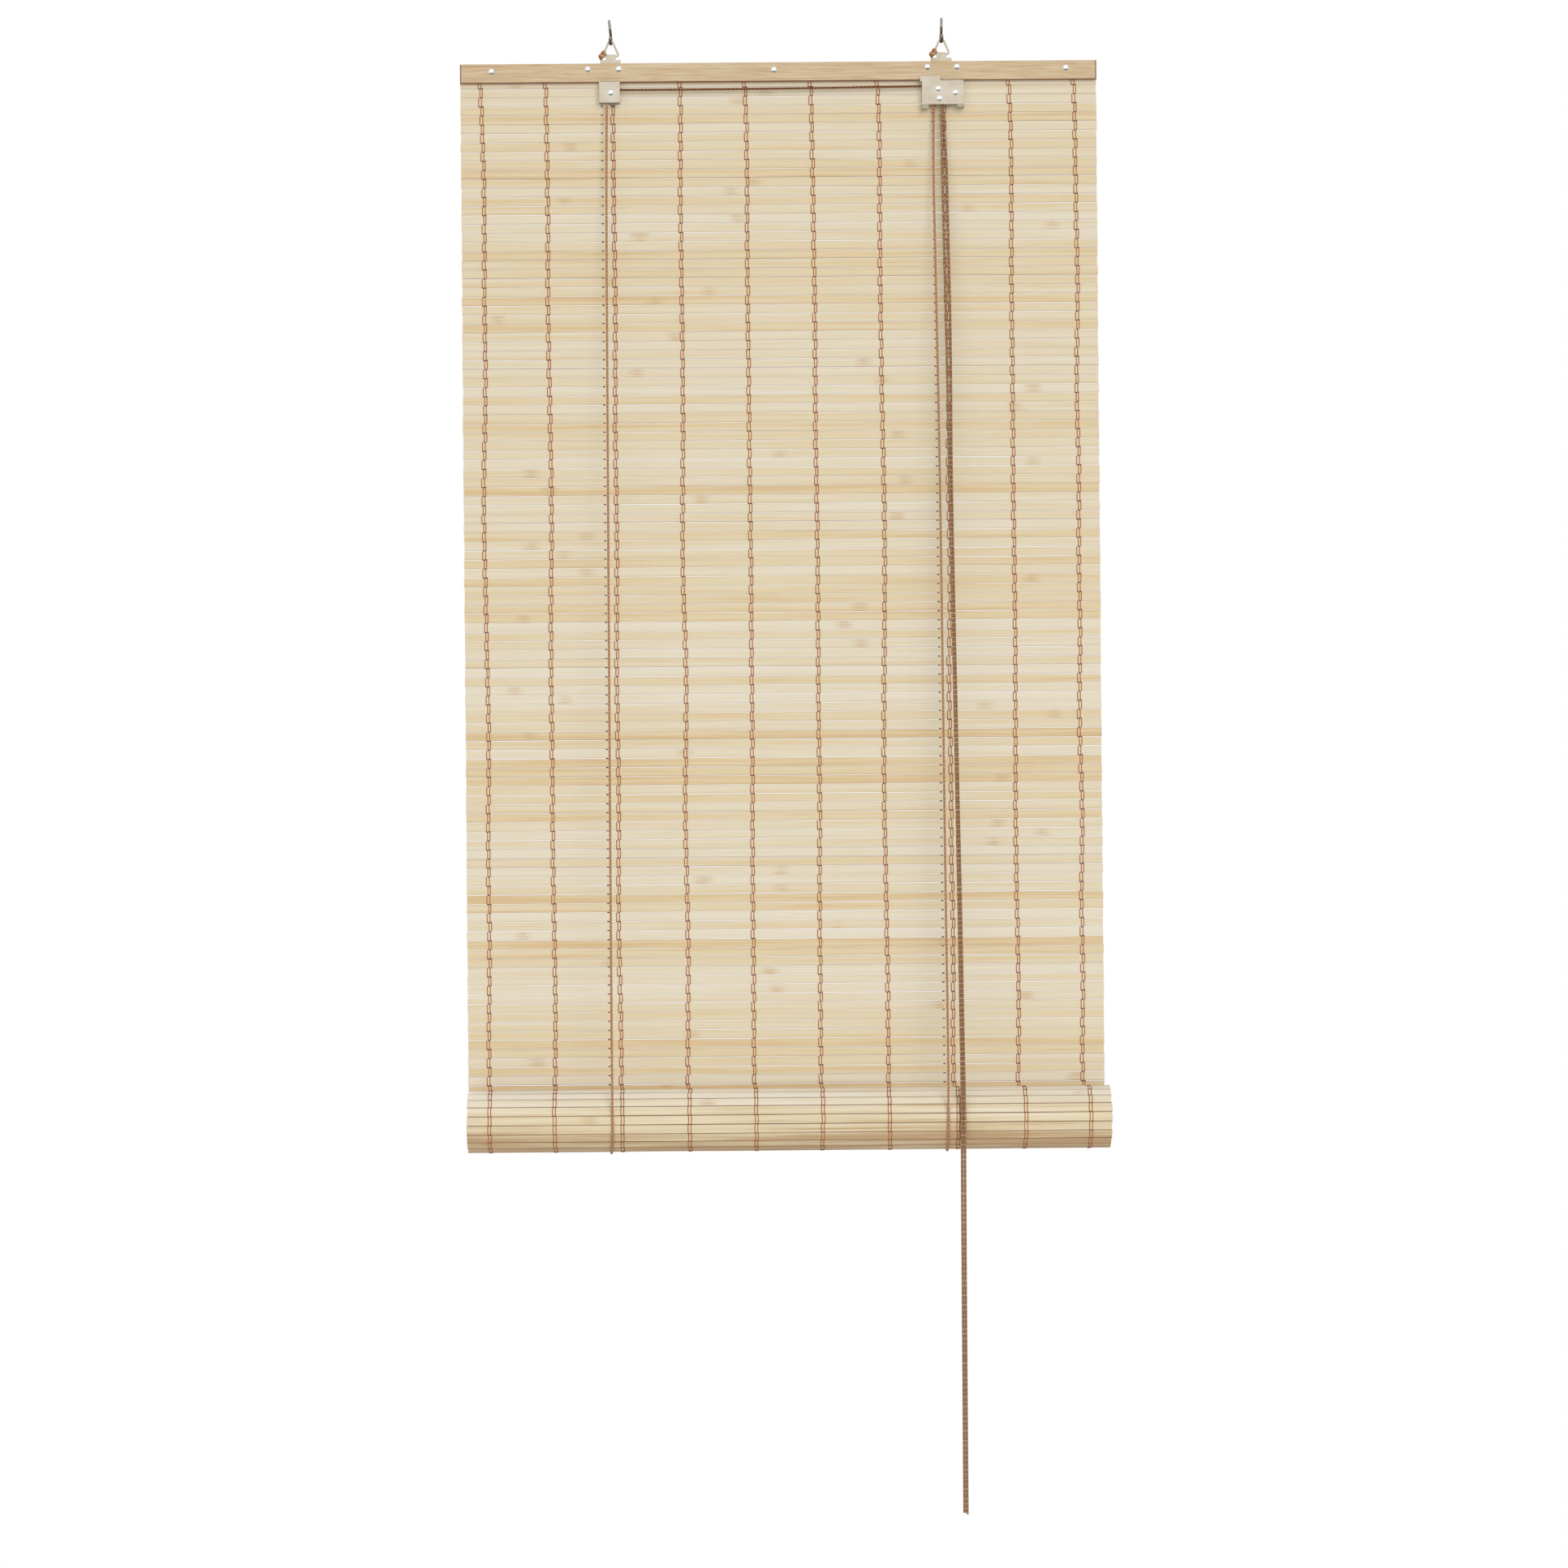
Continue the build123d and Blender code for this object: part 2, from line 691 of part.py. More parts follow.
# Bottom batten, fastened along the inside of the last slat
last_way = (joints[-1] - joints[-2]).normalized()
last_in = Vector(last_way.Y, -last_way.X)
batten_start = joints[-2] + last_way * (slat_gap / 2)
batten_centre = (
    batten_start
    + last_way * (batten_height / 2)
    + last_in * (mat_face + batten_clearance + batten_thickness / 2)
)
batten_angle = math.degrees(math.atan2(last_way.Y, last_way.X))
with BuildPart() as bottom_batten:
    with BuildSketch(Plane.YZ.offset(roll_left)):
        with Locations(Location((batten_centre.X, batten_centre.Y), batten_angle)):
            RectangleRounded(batten_height, batten_thickness, rail_round)
    extrude(amount=blind_width)
bottom_batten.part.label = "bottom_batten"
export_step(bottom_batten.part, "parts/bottom_batten.step")


def cord_tube(points, radius, corner_radii=None):
    """Round cord along straight runs joined by tangent arcs."""
    with BuildPart() as tube:
        with BuildLine() as route:
            if corner_radii:
                FilletPolyline(*points, radius=corner_radii)
            else:
                Line(*points)
        with BuildSketch(Plane(origin=route.line @ 0, z_dir=route.line % 0)):
            Circle(radius)
        sweep()
    return tube.part


# Lift cords: tied at the ring, over the back slat of the rail and down behind the mat
tie_back_y = back_rail_back + tie_reach
tie_z = rail_top + tie_above_rail
tie_end_z = rail_top - tie_end_drop
run_start_z = rail_top - run_start_drop
rear_places = {
    "left": (rear_left_x, rear_left_x),
    "right": (rear_right_top_x, rear_right_low_x),
}
front_places = {
    "left": (hanger_left - pulley_cord_radius, front_left_low_x, strand_front_y),
    "right": (lock_pulley[0] - pulley_cord_radius, front_right_low_x, strand_rear_y),
}
for side in ("left", "right"):
    rear_top_x, rear_low_x = rear_places[side]
    front_top_x, front_low_x, front_top_y = front_places[side]
    tie_route = [
        (rear_top_x, tie_start_y, tie_z + tie_knot_rise),
        (rear_top_x, tie_start_y, tie_z),
        (rear_top_x, tie_back_y, tie_z),
        (rear_top_x, tie_back_y, tie_end_z),
    ]
    tie = cord_tube(tie_route, cord_radius, [tie_knot_bend_radius, tie_bend_radius])
    tie.label = f"tie_{side}"
    export_step(tie, f"parts/tie_{side}.step")

    rear_top = (rear_top_x, tie_back_y, tie_end_z)
    rear_low = (rear_low_x, sling_rear_y, roll_axis_z + cord_joint_gap)
    rear_run = cord_tube([rear_top, rear_low], cord_radius)
    rear_run.label = f"rear_run_{side}"
    export_step(rear_run, f"parts/rear_run_{side}.step")

    front_top = (front_top_x, front_top_y, run_start_z)
    front_low = (front_low_x, sling_front_y, roll_axis_z + cord_joint_gap)
    front_run = cord_tube([front_top, front_low], cord_radius)
    front_run.label = f"front_run_{side}"
    export_step(front_run, f"parts/front_run_{side}.step")

    # The bight under the roll, a half circle from the rear run to the front run
    across = Vector(front_low_x - rear_low_x, sling_front_y - sling_rear_y, 0)
    sling_centre = ((front_low_x + rear_low_x) / 2, roll_axis_y, roll_axis_z)
    sling_plane = Plane(
        origin=sling_centre, x_dir=across, z_dir=across.cross(Vector(0, 0, 1))
    )
    with BuildPart() as sling:
        with BuildLine(sling_plane) as bight:
            CenterArc((0, 0), across.length / 2, 180, 180)
        with BuildSketch(Plane(origin=bight.line @ 0, z_dir=bight.line % 0)):
            Circle(cord_radius)
        sweep()
    sling.part.label = f"sling_{side}"
    export_step(sling.part, f"parts/sling_{side}.step")

# Cord from the left pulley across to the lock, over its pulley and down between spacer and cam
lock_cord_end = rail_top - lock_cord_end_drop
cross_route = [
    (hanger_left - pulley_cord_radius, strand_front_y, run_start_z),
    (hanger_left - pulley_cord_radius, strand_front_y, left_axle[1] + pulley_cord_radius),
    (strand_x, strand_front_y, lock_pulley[1] + pulley_cord_radius),
    (strand_x, strand_front_y, lock_cord_end),
]
cross_cord = cord_tube(cross_route, cord_radius, [pulley_cord_radius] * 2)
cross_cord.label = "cross_cord"
export_step(cross_cord, "parts/cross_cord.step")

with BuildPart() as lock_cord:
    with BuildLine(level(strand_rear_y)) as over_pulley:
        Line(
            (lock_pulley[0] - pulley_cord_radius, run_start_z),
            (lock_pulley[0] - pulley_cord_radius, lock_pulley[1]),
        )
        CenterArc(lock_pulley, pulley_cord_radius, 180, -180)
        Line((strand_x, lock_pulley[1]), (strand_x, lock_cord_end))
    with BuildSketch(Plane(origin=over_pulley.line @ 0, z_dir=over_pulley.line % 0)):
        Circle(cord_radius)
    sweep()
lock_cord.part.label = "lock_cord"
export_step(lock_cord.part, "parts/lock_cord.step")

# Pull cords, free from the lock down
for name, points in (
    ("pull_upper_a", pull_upper_a_points),
    ("pull_upper_b", pull_upper_b_points),
    ("pull_tail_a", pull_tail_a_points),
    ("pull_tail_b", pull_tail_b_points),
):
    radii = tube_route(points, 2 * pull_cord_radius)
    pull_cord = cord_tube(points, pull_cord_radius, radii)
    pull_cord.label = name
    export_step(pull_cord, f"parts/{name}.step")
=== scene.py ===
import math

import bmesh
import bpy
import numpy as np
from mathutils import Matrix

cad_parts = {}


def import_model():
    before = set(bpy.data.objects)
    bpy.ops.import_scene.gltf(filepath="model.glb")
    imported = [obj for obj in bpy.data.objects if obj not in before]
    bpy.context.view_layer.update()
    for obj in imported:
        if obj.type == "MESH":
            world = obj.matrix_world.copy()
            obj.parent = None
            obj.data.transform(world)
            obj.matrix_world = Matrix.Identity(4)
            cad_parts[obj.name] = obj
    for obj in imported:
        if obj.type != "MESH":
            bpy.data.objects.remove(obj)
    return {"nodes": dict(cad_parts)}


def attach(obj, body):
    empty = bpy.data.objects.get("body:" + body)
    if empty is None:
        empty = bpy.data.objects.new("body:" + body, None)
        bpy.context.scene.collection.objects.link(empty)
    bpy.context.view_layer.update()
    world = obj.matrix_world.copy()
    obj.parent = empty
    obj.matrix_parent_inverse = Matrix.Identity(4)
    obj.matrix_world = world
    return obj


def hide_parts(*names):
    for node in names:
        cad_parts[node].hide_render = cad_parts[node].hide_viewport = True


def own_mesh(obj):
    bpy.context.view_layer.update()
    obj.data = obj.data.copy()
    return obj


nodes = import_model()["nodes"]
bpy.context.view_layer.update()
xAxis, yAxis, zAxis = np.eye(3)
print("frame loaded")

# Shader wiring


def linear(code):  # a colour as a paint card gives it, made linear for the shader
    parts = [int(code[i : i + 2], 16) / 255 for i in (1, 3, 5)]
    return tuple(c / 12.92 if c <= 0.04045 else ((c + 0.055) / 1.055) ** 2.4 for c in parts) + (1,)


class Wiring:  # nodes and links of one tree, with a short call for each kind in use
    def __init__(self, tree):
        self.tree = tree

    def plug(self, value, socket):
        if isinstance(value, bpy.types.NodeSocket):
            self.tree.links.new(value, socket)
        else:
            socket.default_value = linear(value) if isinstance(value, str) else value

    def made(self, kind, values=(), **settings):  # the outputs of a new node, its inputs filled in
        node = self.tree.nodes.new("ShaderNode" + kind)
        for key, value in settings.items():
            setattr(node, key, value)
        for place, value in dict(values).items():
            self.plug(value, node.inputs[place])
        return node.outputs

    def math(self, operation, *values, clamp=False):
        return self.made("Math", enumerate(values), operation=operation, use_clamp=clamp)[0]

    def plus(self, a, b, clamp=False):
        return self.math("ADD", a, b, clamp=clamp)

    def times(self, a, b):
        return self.math("MULTIPLY", a, b)

    def centred(self, value):  # noise lies about 0.5
        return self.math("SUBTRACT", value, 0.5)

    def apart(self, a, b):
        return self.math("ABSOLUTE", self.math("SUBTRACT", a, b))

    def vectorMath(self, operation, a, b):
        return self.made("VectorMath", {0: a, 1: b}, operation=operation)[0]

    def parts(self, vector):  # its X, Y and Z
        return self.made("SeparateXYZ", {0: vector})

    def mix(self, share, a, b):
        return self.made("Mix", {0: share, 6: a, 7: b}, data_type="RGBA")[2]

    def spread(self, value, low, high, toLow=0.0, toHigh=1.0):
        values = enumerate((value, low, high, toLow, toHigh))
        return self.made("MapRange", values, interpolation_type="SMOOTHSTEP")[0]

    def noise(self, vector, scale=1.0, detail=2.0, roughness=0.5):
        values = {"Vector": vector, "Scale": scale, "Detail": detail, "Roughness": roughness}
        return self.made("TexNoise", values)["Fac"]

    def stretched(self, vector, scale, detail=2.0, roughness=0.5):  # noise scaled apart on each axis
        return self.noise(self.vectorMath("MULTIPLY", vector, scale), 1.0, detail, roughness)

    def ramp(self, value, stops):
        node = self.tree.nodes.new("ShaderNodeValToRGB")
        self.plug(value, node.inputs[0])
        elements = node.color_ramp.elements
        while len(elements) < len(stops):
            elements.new(0.5)
        for element, (place, code) in zip(elements, stops):
            element.position = place
            element.color = linear(code)
        return node.outputs[0]

    def source(self, kind):  # Object, UV or Normal
        return self.made("TexCoord")[kind]

    def attribute(self, name):
        return self.made("Attribute", attribute_name=name)["Fac"]

    def group(self, tree, **values):
        return self.made("Group", values, node_tree=tree)


# Camera, light and stage

studio = {
    "cameraPlace": (-0.0308, -5.3086, -0.9655),
    "pan": -0.00624,  # in radians, as are tilt and roll
    "tilt": 0.003385,
    "roll": 0.008255,
    "sensorWidth": 36,
    "focalPixels": 5199.1,
    "framePixels": 1932,
    "suns": {  # strength, softness in degrees and where it comes from
        "keyLight": (1.21, 36, (0.36, -1.0, 0.36)),
        "fillLight": (0.55, 60, (-0.5, -1.0, 0.02)),
        "backLight": (0.75, 40, (-0.3, 1.0, 0.8)),
    },
    "skyStrength": 0.4,
    "floorLevel": -2.6,
    "floorSize": 6.0,
    "floorColour": "#F4F2EE",
    "floorRoughness": 0.9,
}


def addObject(name, data):
    made = bpy.data.objects.new(name, data)
    bpy.context.scene.collection.objects.link(made)
    return made


def placing(across, up, back, place=(0, 0, 0)):  # from the three axes and the place
    return Matrix.Translation(place) @ Matrix(np.array([across, up, back]).T.tolist()).to_4x4()


def makeCamera(s):
    right = np.array([math.cos(s["pan"]), math.sin(s["pan"]), 0])
    ahead = np.array([-math.sin(s["pan"]), math.cos(s["pan"]), 0])
    forward = ahead * math.cos(s["tilt"]) + np.array([0, 0, math.sin(s["tilt"])])
    up = np.cross(right, forward)
    across = right * math.cos(s["roll"]) - up * math.sin(s["roll"])
    upward = right * math.sin(s["roll"]) + up * math.cos(s["roll"])
    data = bpy.data.cameras.new("camera")
    data.sensor_width = s["sensorWidth"]
    data.lens = s["focalPixels"] / s["framePixels"] * s["sensorWidth"]
    data.clip_end = 100
    camera = addObject("camera", data)
    camera.matrix_world = placing(across, upward, -forward, s["cameraPlace"])
    bpy.context.scene.camera = camera


def makeSun(name, strength, softness, comesFrom):
    data = bpy.data.lights.new(name, "SUN")
    data.energy = strength
    data.angle = math.radians(softness)
    back = np.array(comesFrom, float) / np.linalg.norm(comesFrom)
    side = np.cross([0, 0, 1], back)
    side /= np.linalg.norm(side)
    addObject(name, data).matrix_world = placing(side, np.cross(back, side), back)


def makeWorld(strength):  # white where the camera looks, weaker as a light
    world = bpy.data.worlds.new("studio")
    bpy.context.scene.world = world
    world.use_nodes = True
    world.node_tree.nodes.clear()
    w = Wiring(world.node_tree)
    path = w.made("LightPath")
    seen = w.math("MAXIMUM", path["Is Camera Ray"], path["Is Glossy Ray"])
    seen = w.math("MAXIMUM", seen, path["Is Transmission Ray"])
    weak = w.made("Background", {"Color": "#FFFFFF", "Strength": strength})[0]
    white = w.made("Background", {"Color": "#FFFFFF", "Strength": 1})[0]
    w.made("OutputWorld", {0: w.made("MixShader", {0: seen, 1: weak, 2: white})[0]})


def makeFloor(s):
    half = s["floorSize"] / 2
    mesh = bpy.data.meshes.new("floor")
    corners = [(-half, -half), (half, -half), (half, half), (-half, half)]
    mesh.from_pydata([(x, y, s["floorLevel"]) for x, y in corners], [], [(0, 1, 2, 3)])
    paint = bpy.data.materials.new("floorPaint")
    paint.use_nodes = True
    shader = paint.node_tree.nodes["Principled BSDF"]
    shader.inputs["Base Color"].default_value = linear(s["floorColour"])
    shader.inputs["Roughness"].default_value = s["floorRoughness"]
    mesh.materials.append(paint)
    addObject("floor", mesh)


makeCamera(studio)
makeWorld(studio["skyStrength"])
makeFloor(studio)
for name, sun in studio["suns"].items():
    makeSun(name, *sun)
bpy.context.scene.view_settings.view_transform = "Standard"
print("camera and stage set")

# Figures of the materials


def newGroup(name, inputs, outputs):
    tree = bpy.data.node_groups.new(name, "ShaderNodeTree")
    for label in inputs:
        kind = "Vector" if label == "Vector" else "Float"
        tree.interface.new_socket(label, in_out="INPUT", socket_type="NodeSocket" + kind)
    for label in outputs:
        tree.interface.new_socket(label, in_out="OUTPUT", socket_type="NodeSocketFloat")
    given, out = (tree.nodes.new("NodeGroup" + end) for end in ("Input", "Output"))
    return Wiring(tree), given.outputs, out.inputs


grain = {
    "broad": (3.2, 3.2, 190),  # noise cells in a metre along X, Y and Z, as in the next two
    "fine": (11, 11, 760),
    "fibre": (42, 42, 4200),
    "streakShares": (0.66, 0.34),
    "seedShift": (37.0, 11.0),
    "ragged": 0.02,
    "smudgeReach": 0.016,
}


def bambooFigure(g):  # long streaks, fibres and node smudges of split bamboo, lying along X
    w, given, out = newGroup("bambooFigure", ("Vector", "Seed", "Node"), ("Streak", "Fibre", "Smudge"))
    shiftX, shiftZ = (w.times(given["Seed"], amount) for amount in g["seedShift"])
    moved = w.vectorMath("ADD", given["Vector"], w.made("CombineXYZ", {0: shiftX, 2: shiftZ})[0])
    broad = w.stretched(moved, g["broad"])
    fine = w.stretched(moved, g["fine"], 3, 0.6)
    broadShare, fineShare = g["streakShares"]
    w.plug(w.plus(w.times(broad, broadShare), w.times(fine, fineShare)), out["Streak"])
    w.plug(w.stretched(moved, g["fibre"], 3, 0.65), out["Fibre"])
    away = w.apart(w.parts(given["Vector"])[0], given["Node"])
    ragged = w.plus(away, w.times(w.centred(broad), g["ragged"]))
    near = w.spread(ragged, 0.0, g["smudgeReach"], 1.0, 0.0)
    w.plug(w.times(near, w.spread(fine, 0.36, 0.62)), out["Smudge"])
    return w.tree


def braidFigure():  # strands crossing round the cord, from the UV map: x along in metres, y once round
    w, given, out = newGroup("braidFigure", ("Vector", "Pitch", "Strands"), ("Raised", "Fleck"))
    far, turned, _ = w.parts(given["Vector"])
    around = w.times(w.times(turned, given["Strands"]), 2 * math.pi)
    lengthwise = w.times(w.math("DIVIDE", far, given["Pitch"]), 2 * math.pi)
    right = w.math("COSINE", w.plus(lengthwise, around))
    left = w.math("COSINE", w.math("SUBTRACT", lengthwise, around))
    w.plug(w.math("MAXIMUM", right, left), out["Raised"])
    slower = w.math("SINE", w.math("MULTIPLY_ADD", lengthwise, 0.5, around))
    w.plug(w.math("MULTIPLY_ADD", w.times(right, slower), 0.5, 0.5), out["Fleck"])
    return w.tree


def paintAge():  # cloudy tone, small specks and the faint ripple of sprayed enamel
    w, given, out = newGroup("paintAge", ("Vector",), ("Cloud", "Speck", "Ripple"))
    w.plug(w.noise(given["Vector"], 70, 3), out["Cloud"])
    w.plug(w.spread(w.noise(given["Vector"], 900, 2, 0.7), 0.68, 0.76), out["Speck"])
    w.plug(w.noise(given["Vector"], 420, 2), out["Ripple"])
    return w.tree


figureGroup = bambooFigure(grain)
braidGroup = braidFigure()
paintGroup = paintAge()


def newMaterial(name):
    material = bpy.data.materials.new(name)
    material.use_nodes = True
    w = Wiring(material.node_tree)
    w.material = material
    return w


def finish(w, colour, roughness, relief, depth, specular=0.5, metallic=0.0):
    bump = w.made("Bump", {"Strength": 1, "Distance": depth, "Height": relief})[0]
    values = {"Base Color": colour, "Roughness": roughness, "Normal": bump}
    values |= {"Specular IOR Level": specular, "Metallic": metallic}
    for label, value in values.items():
        w.plug(value, w.tree.nodes["Principled BSDF"].inputs[label])
    return w.material


bambooLook = {
    "pale": "#EAE0CA",
    "cream": "#E6D9BD",
    "straw": "#E4D0A8",
    "tan": "#DCBE90",
    "edge": "#8C6547",
    "smudge": "#D0A873",
    # colour of the painted shade of the rear cords seen through the seams
    "cordShade": "#3E2A1B",
}
# the roll's bamboo colours, paler with a darker tan: painted light on the roll's top and painted shade below
rollLitAndShadedLook = {
    "pale": "#F7EFDD",
    "cream": "#F0E4CA",
    "straw": "#E2CFA9",
    "tan": "#C6A67F",
    "edge": "#93593A",
    "smudge": "#D0A873",
}
slatSurface = {
    "stops": {"pale": 0.0, "cream": 0.33, "straw": 0.68, "tan": 1.0},
    "streak": 1.9,
    "fibre": 0.5,
    "smudge": 0.55,
    "edgePower": 1.4,
    "roughness": (0.42, 0.6),
    "relief": 0.00012,
    "leftCord": -0.22,  # X of the left rear cord
    "rightCord": (-0.00406, 0.19607),  # the right one leans: X for a metre of Z, and X at Z 0
    # width and edge reach of the painted shade of the rear cords
    "cordShadeWidth": (0.0011, 0.002),
    "cordShadeEdge": (0.22, 0.6),
    "cordShade": 0.95,
}


def bambooMaterial(name, look, s):
    w = newMaterial(name)
    place, edge = w.source("Object"), w.attribute("slatEdgeShade")
    figure = w.group(figureGroup, Vector=place, Seed=w.attribute("slatSeed"), Node=w.attribute("slatNode"))
    tone = w.plus(w.attribute("slatTone"), w.times(w.centred(figure["Streak"]), s["streak"]))
    tone = w.plus(tone, w.times(w.centred(figure["Fibre"]), s["fibre"]), clamp=True)
    colour = w.ramp(tone, [(at, look[key]) for key, at in s["stops"].items()])
    colour = w.mix(w.times(figure["Smudge"], s["smudge"]), colour, look["smudge"])
    # painted shade along the slats' edges, its strength set per slat
    edgeShaded = w.times(w.math("POWER", edge, s["edgePower"]), w.attribute("slatShadeStrength"))
    colour = w.mix(edgeShaded, colour, look["edge"])
    if "cordShade" in look:  # painted shade of the rear cords, seen through the seams, on the slats' edges in front of them
        across, _, height = w.parts(place)
        toLeft = w.apart(across, s["leftCord"])
        toRight = w.apart(across, w.math("MULTIPLY_ADD", height, *s["rightCord"]))
        near = w.spread(w.math("MINIMUM", toLeft, toRight), *s["cordShadeWidth"], 1.0, 0.0)
        cordShaded = w.times(near, w.spread(edge, *s["cordShadeEdge"]))
        colour = w.mix(w.times(cordShaded, s["cordShade"]), colour, look["cordShade"])
    rough = w.spread(figure["Streak"], 0.2, 0.8, *s["roughness"])
    relief = w.plus(figure["Fibre"], w.times(figure["Smudge"], 1.5))
    return finish(w, colour, rough, relief, s["relief"], 0.32)


railLook = {
    "pale": "#DFCDAE",
    "middle": "#D1B791",
    "dark": "#B8926A",
    "end": "#74432A",
    # painted shade: the rail's lower front edge and its faces that face down
    "lowerEdgeShade": "#9A6240",
    "under": "#8E4E2E",
    "grain": (22, 22, 620),
    "centre": 0.0025,
    "endReach": (0.3976, 0.3992),
    "lowerShadeLevels": (-0.0637, -0.0628),
}


def railMaterial(look):
    w = newMaterial("planedBamboo")
    place = w.source("Object")
    figure = w.group(figureGroup, Vector=place, Seed=0.37, Node=0.285)
    streaks = w.stretched(place, look["grain"], 4, 0.66)
    tone = w.plus(w.times(figure["Streak"], 1.2), w.times(streaks, 1.4))
    stops = [(0.2, look["pale"]), (0.5, look["middle"]), (0.95, look["dark"])]
    colour = w.ramp(w.math("SUBTRACT", tone, 0.8), stops)
    across, _, height = w.parts(place)
    atEnd = w.spread(w.apart(across, look["centre"]), *look["endReach"], 0.0, 0.85)
    colour = w.mix(atEnd, colour, look["end"])
    # painted shade along the lower front edge and on the faces that face down
    colour = w.mix(w.spread(height, *look["lowerShadeLevels"], 0.75, 0.0), colour, look["lowerEdgeShade"])
    downwardShade = w.spread(w.parts(w.source("Normal"))[2], -0.9, -0.4, 1.0, 0.0)
    colour = w.mix(downwardShade, colour, look["under"])
    return finish(w, colour, 0.48, figure["Fibre"], 0.0001, 0.35)


braids = {
    "lift": {"dark": "#8E5831", "middle": "#D29C6A", "light": "#F0CFA6", "pitch": 0.0026, "relief": 0.0004},
    "shaded": {"dark": "#55301B", "middle": "#8B5737", "light": "#B8865E", "pitch": 0.0026, "relief": 0.0004},
    "pull": {"dark": "#663F26", "middle": "#B68A62", "light": "#EFD3B2", "pitch": 0.003, "relief": 0.0005},
}


def cordMaterial(name, look):
    w = newMaterial(name)
    weave = w.group(braidGroup, Vector=w.source("UV"), Pitch=look["pitch"], Strands=2)
    patch = w.stretched(w.source("UV"), (260, 6, 1))
    colour = w.mix(w.spread(weave["Raised"], -0.2, 0.9), look["dark"], look["middle"])
    fleck = w.times(w.spread(weave["Fleck"], 0.55, 0.8), w.spread(patch, 0.38, 0.62))
    colour = w.mix(fleck, colour, look["light"])
    return finish(w, colour, 0.7, weave["Raised"], look["relief"], 0.25)


threadLook = {"strand": "#B26C3C", "knot": "#724020", "light": "#D09862"}


def threadMaterial(look):
    w = newMaterial("sewingThread")
    twist = w.stretched(w.source("UV"), (1500, 3, 1), 1)
    colour = w.mix(w.spread(twist, 0.4, 0.7), look["strand"], look["light"])
    colour = w.mix(w.attribute("knotShare"), colour, look["knot"])
    return finish(w, colour, 0.8, twist, 0.0001, 0.25)


# the speck colour is the paint's own, the lip and under colours are painted shade
enamelShades = {"speck": "#8A7C68", "lip": "#8D8773", "under": "#45443A"}
enamels = {  # colour, worn colour, roughness and the levels between which a lip gets painted shade
    "creamEnamel": ("#D8CEB8", "#CDC1A8", 0.42),
    "beigeEnamelLeft": ("#D9D0BD", "#D0C5AF", 0.4, (-0.0906, -0.0893)),
    "beigeEnamelRight": ("#D6CBB6", "#CDC0A8", 0.4, (-0.0958, -0.0935)),
    "pulleyNylon": ("#E9E6DC", "#DFDACD", 0.5),
}


def enamelMaterial(name, colour, worn, roughness, lipLevels=None):
    w = newMaterial(name)
    place = w.source("Object")
    age = w.group(paintGroup, Vector=place)
    base = w.mix(w.spread(age["Cloud"], 0.35, 0.7), colour, worn)
    base = w.mix(w.times(age["Speck"], 0.35), base, enamelShades["speck"])
    if lipLevels:  # painted shade along the lower lips, and a darker painted shade on what faces down
        lip = w.spread(w.parts(place)[2], *lipLevels, 0.65, 0.0)
        base = w.mix(lip, base, enamelShades["lip"])
        downwardShade = w.spread(w.parts(w.source("Normal"))[2], -0.9, -0.5, 0.85, 0.0)
        base = w.mix(downwardShade, base, enamelShades["under"])
    rough = w.spread(age["Cloud"], 0.3, 0.7, roughness - 0.05, roughness + 0.1)
    return finish(w, base, rough, age["Ripple"], 0.00006, 0.45)


metals = {  # colour, dull colour, roughness, and a dome's painted reflection: darker from below and a cooler spot
    "brightRivet": ("#EEF0F2", "#DEE1E5", 0.25, "#98A5B0", "#9CB9D0"),
    "camSteel": ("#B9B6AE", "#96918A", 0.35),
}


def metalMaterial(name, colour, dull, roughness, under=None, spot=None):
    w = newMaterial(name)
    age = w.group(paintGroup, Vector=w.source("Object"))
    base = w.mix(w.spread(age["Cloud"], 0.4, 0.72), colour, dull)
    if under:  # painted reflection on the polished domes: darker where they face down, and one cooler spot
        across, _, upward = w.parts(w.source("Normal"))
        base = w.mix(w.spread(upward, -0.75, -0.15, 1.0, 0.0), base, under)
        reflectedBand = w.times(w.spread(upward, -0.5, -0.3), w.spread(upward, -0.25, -0.02, 1.0, 0.0))
        beside = w.spread(w.apart(across, 0.04), 0.08, 0.3, 1.0, 0.0)
        base = w.mix(w.times(w.times(reflectedBand, beside), 0.75), base, spot)
    rough = w.spread(age["Cloud"], 0.3, 0.7, roughness, roughness + 0.15)
    return finish(w, base, rough, age["Ripple"], 0.00003, metallic=1.0)


zincLook = {
    "bright": "#8E8E87",
    "dull": "#6E6E67",
    "darkening": "#55402E",
    "neckLevels": (-0.006, -0.004, 0.003, 0.005),
    "bowlLevels": (-0.0105, -0.0085),
    "uneven": 0.004,
}


def hookMaterial(look):  # zinc, darker brown at the neck and in the bowl, by height
    w = newMaterial("zincWire")
    place = w.source("Object")
    age = w.group(paintGroup, Vector=place)
    height = w.plus(w.parts(place)[2], w.times(w.centred(age["Cloud"]), look["uneven"]))
    low, lowFull, highFull, high = look["neckLevels"]
    neck = w.times(w.spread(height, low, lowFull), w.spread(height, highFull, high, 1.0, 0.0))
    darkening = w.math("MAXIMUM", neck, w.spread(height, *look["bowlLevels"], 1.0, 0.0))
    colour = w.mix(w.spread(age["Cloud"], 0.4, 0.7), look["bright"], look["dull"])
    colour = w.mix(w.times(darkening, 0.9), colour, look["darkening"])
    rough = w.spread(darkening, 0.0, 1.0, 0.34, 0.6)
    return finish(w, colour, rough, age["Ripple"], 0.00004, metallic=1.0)


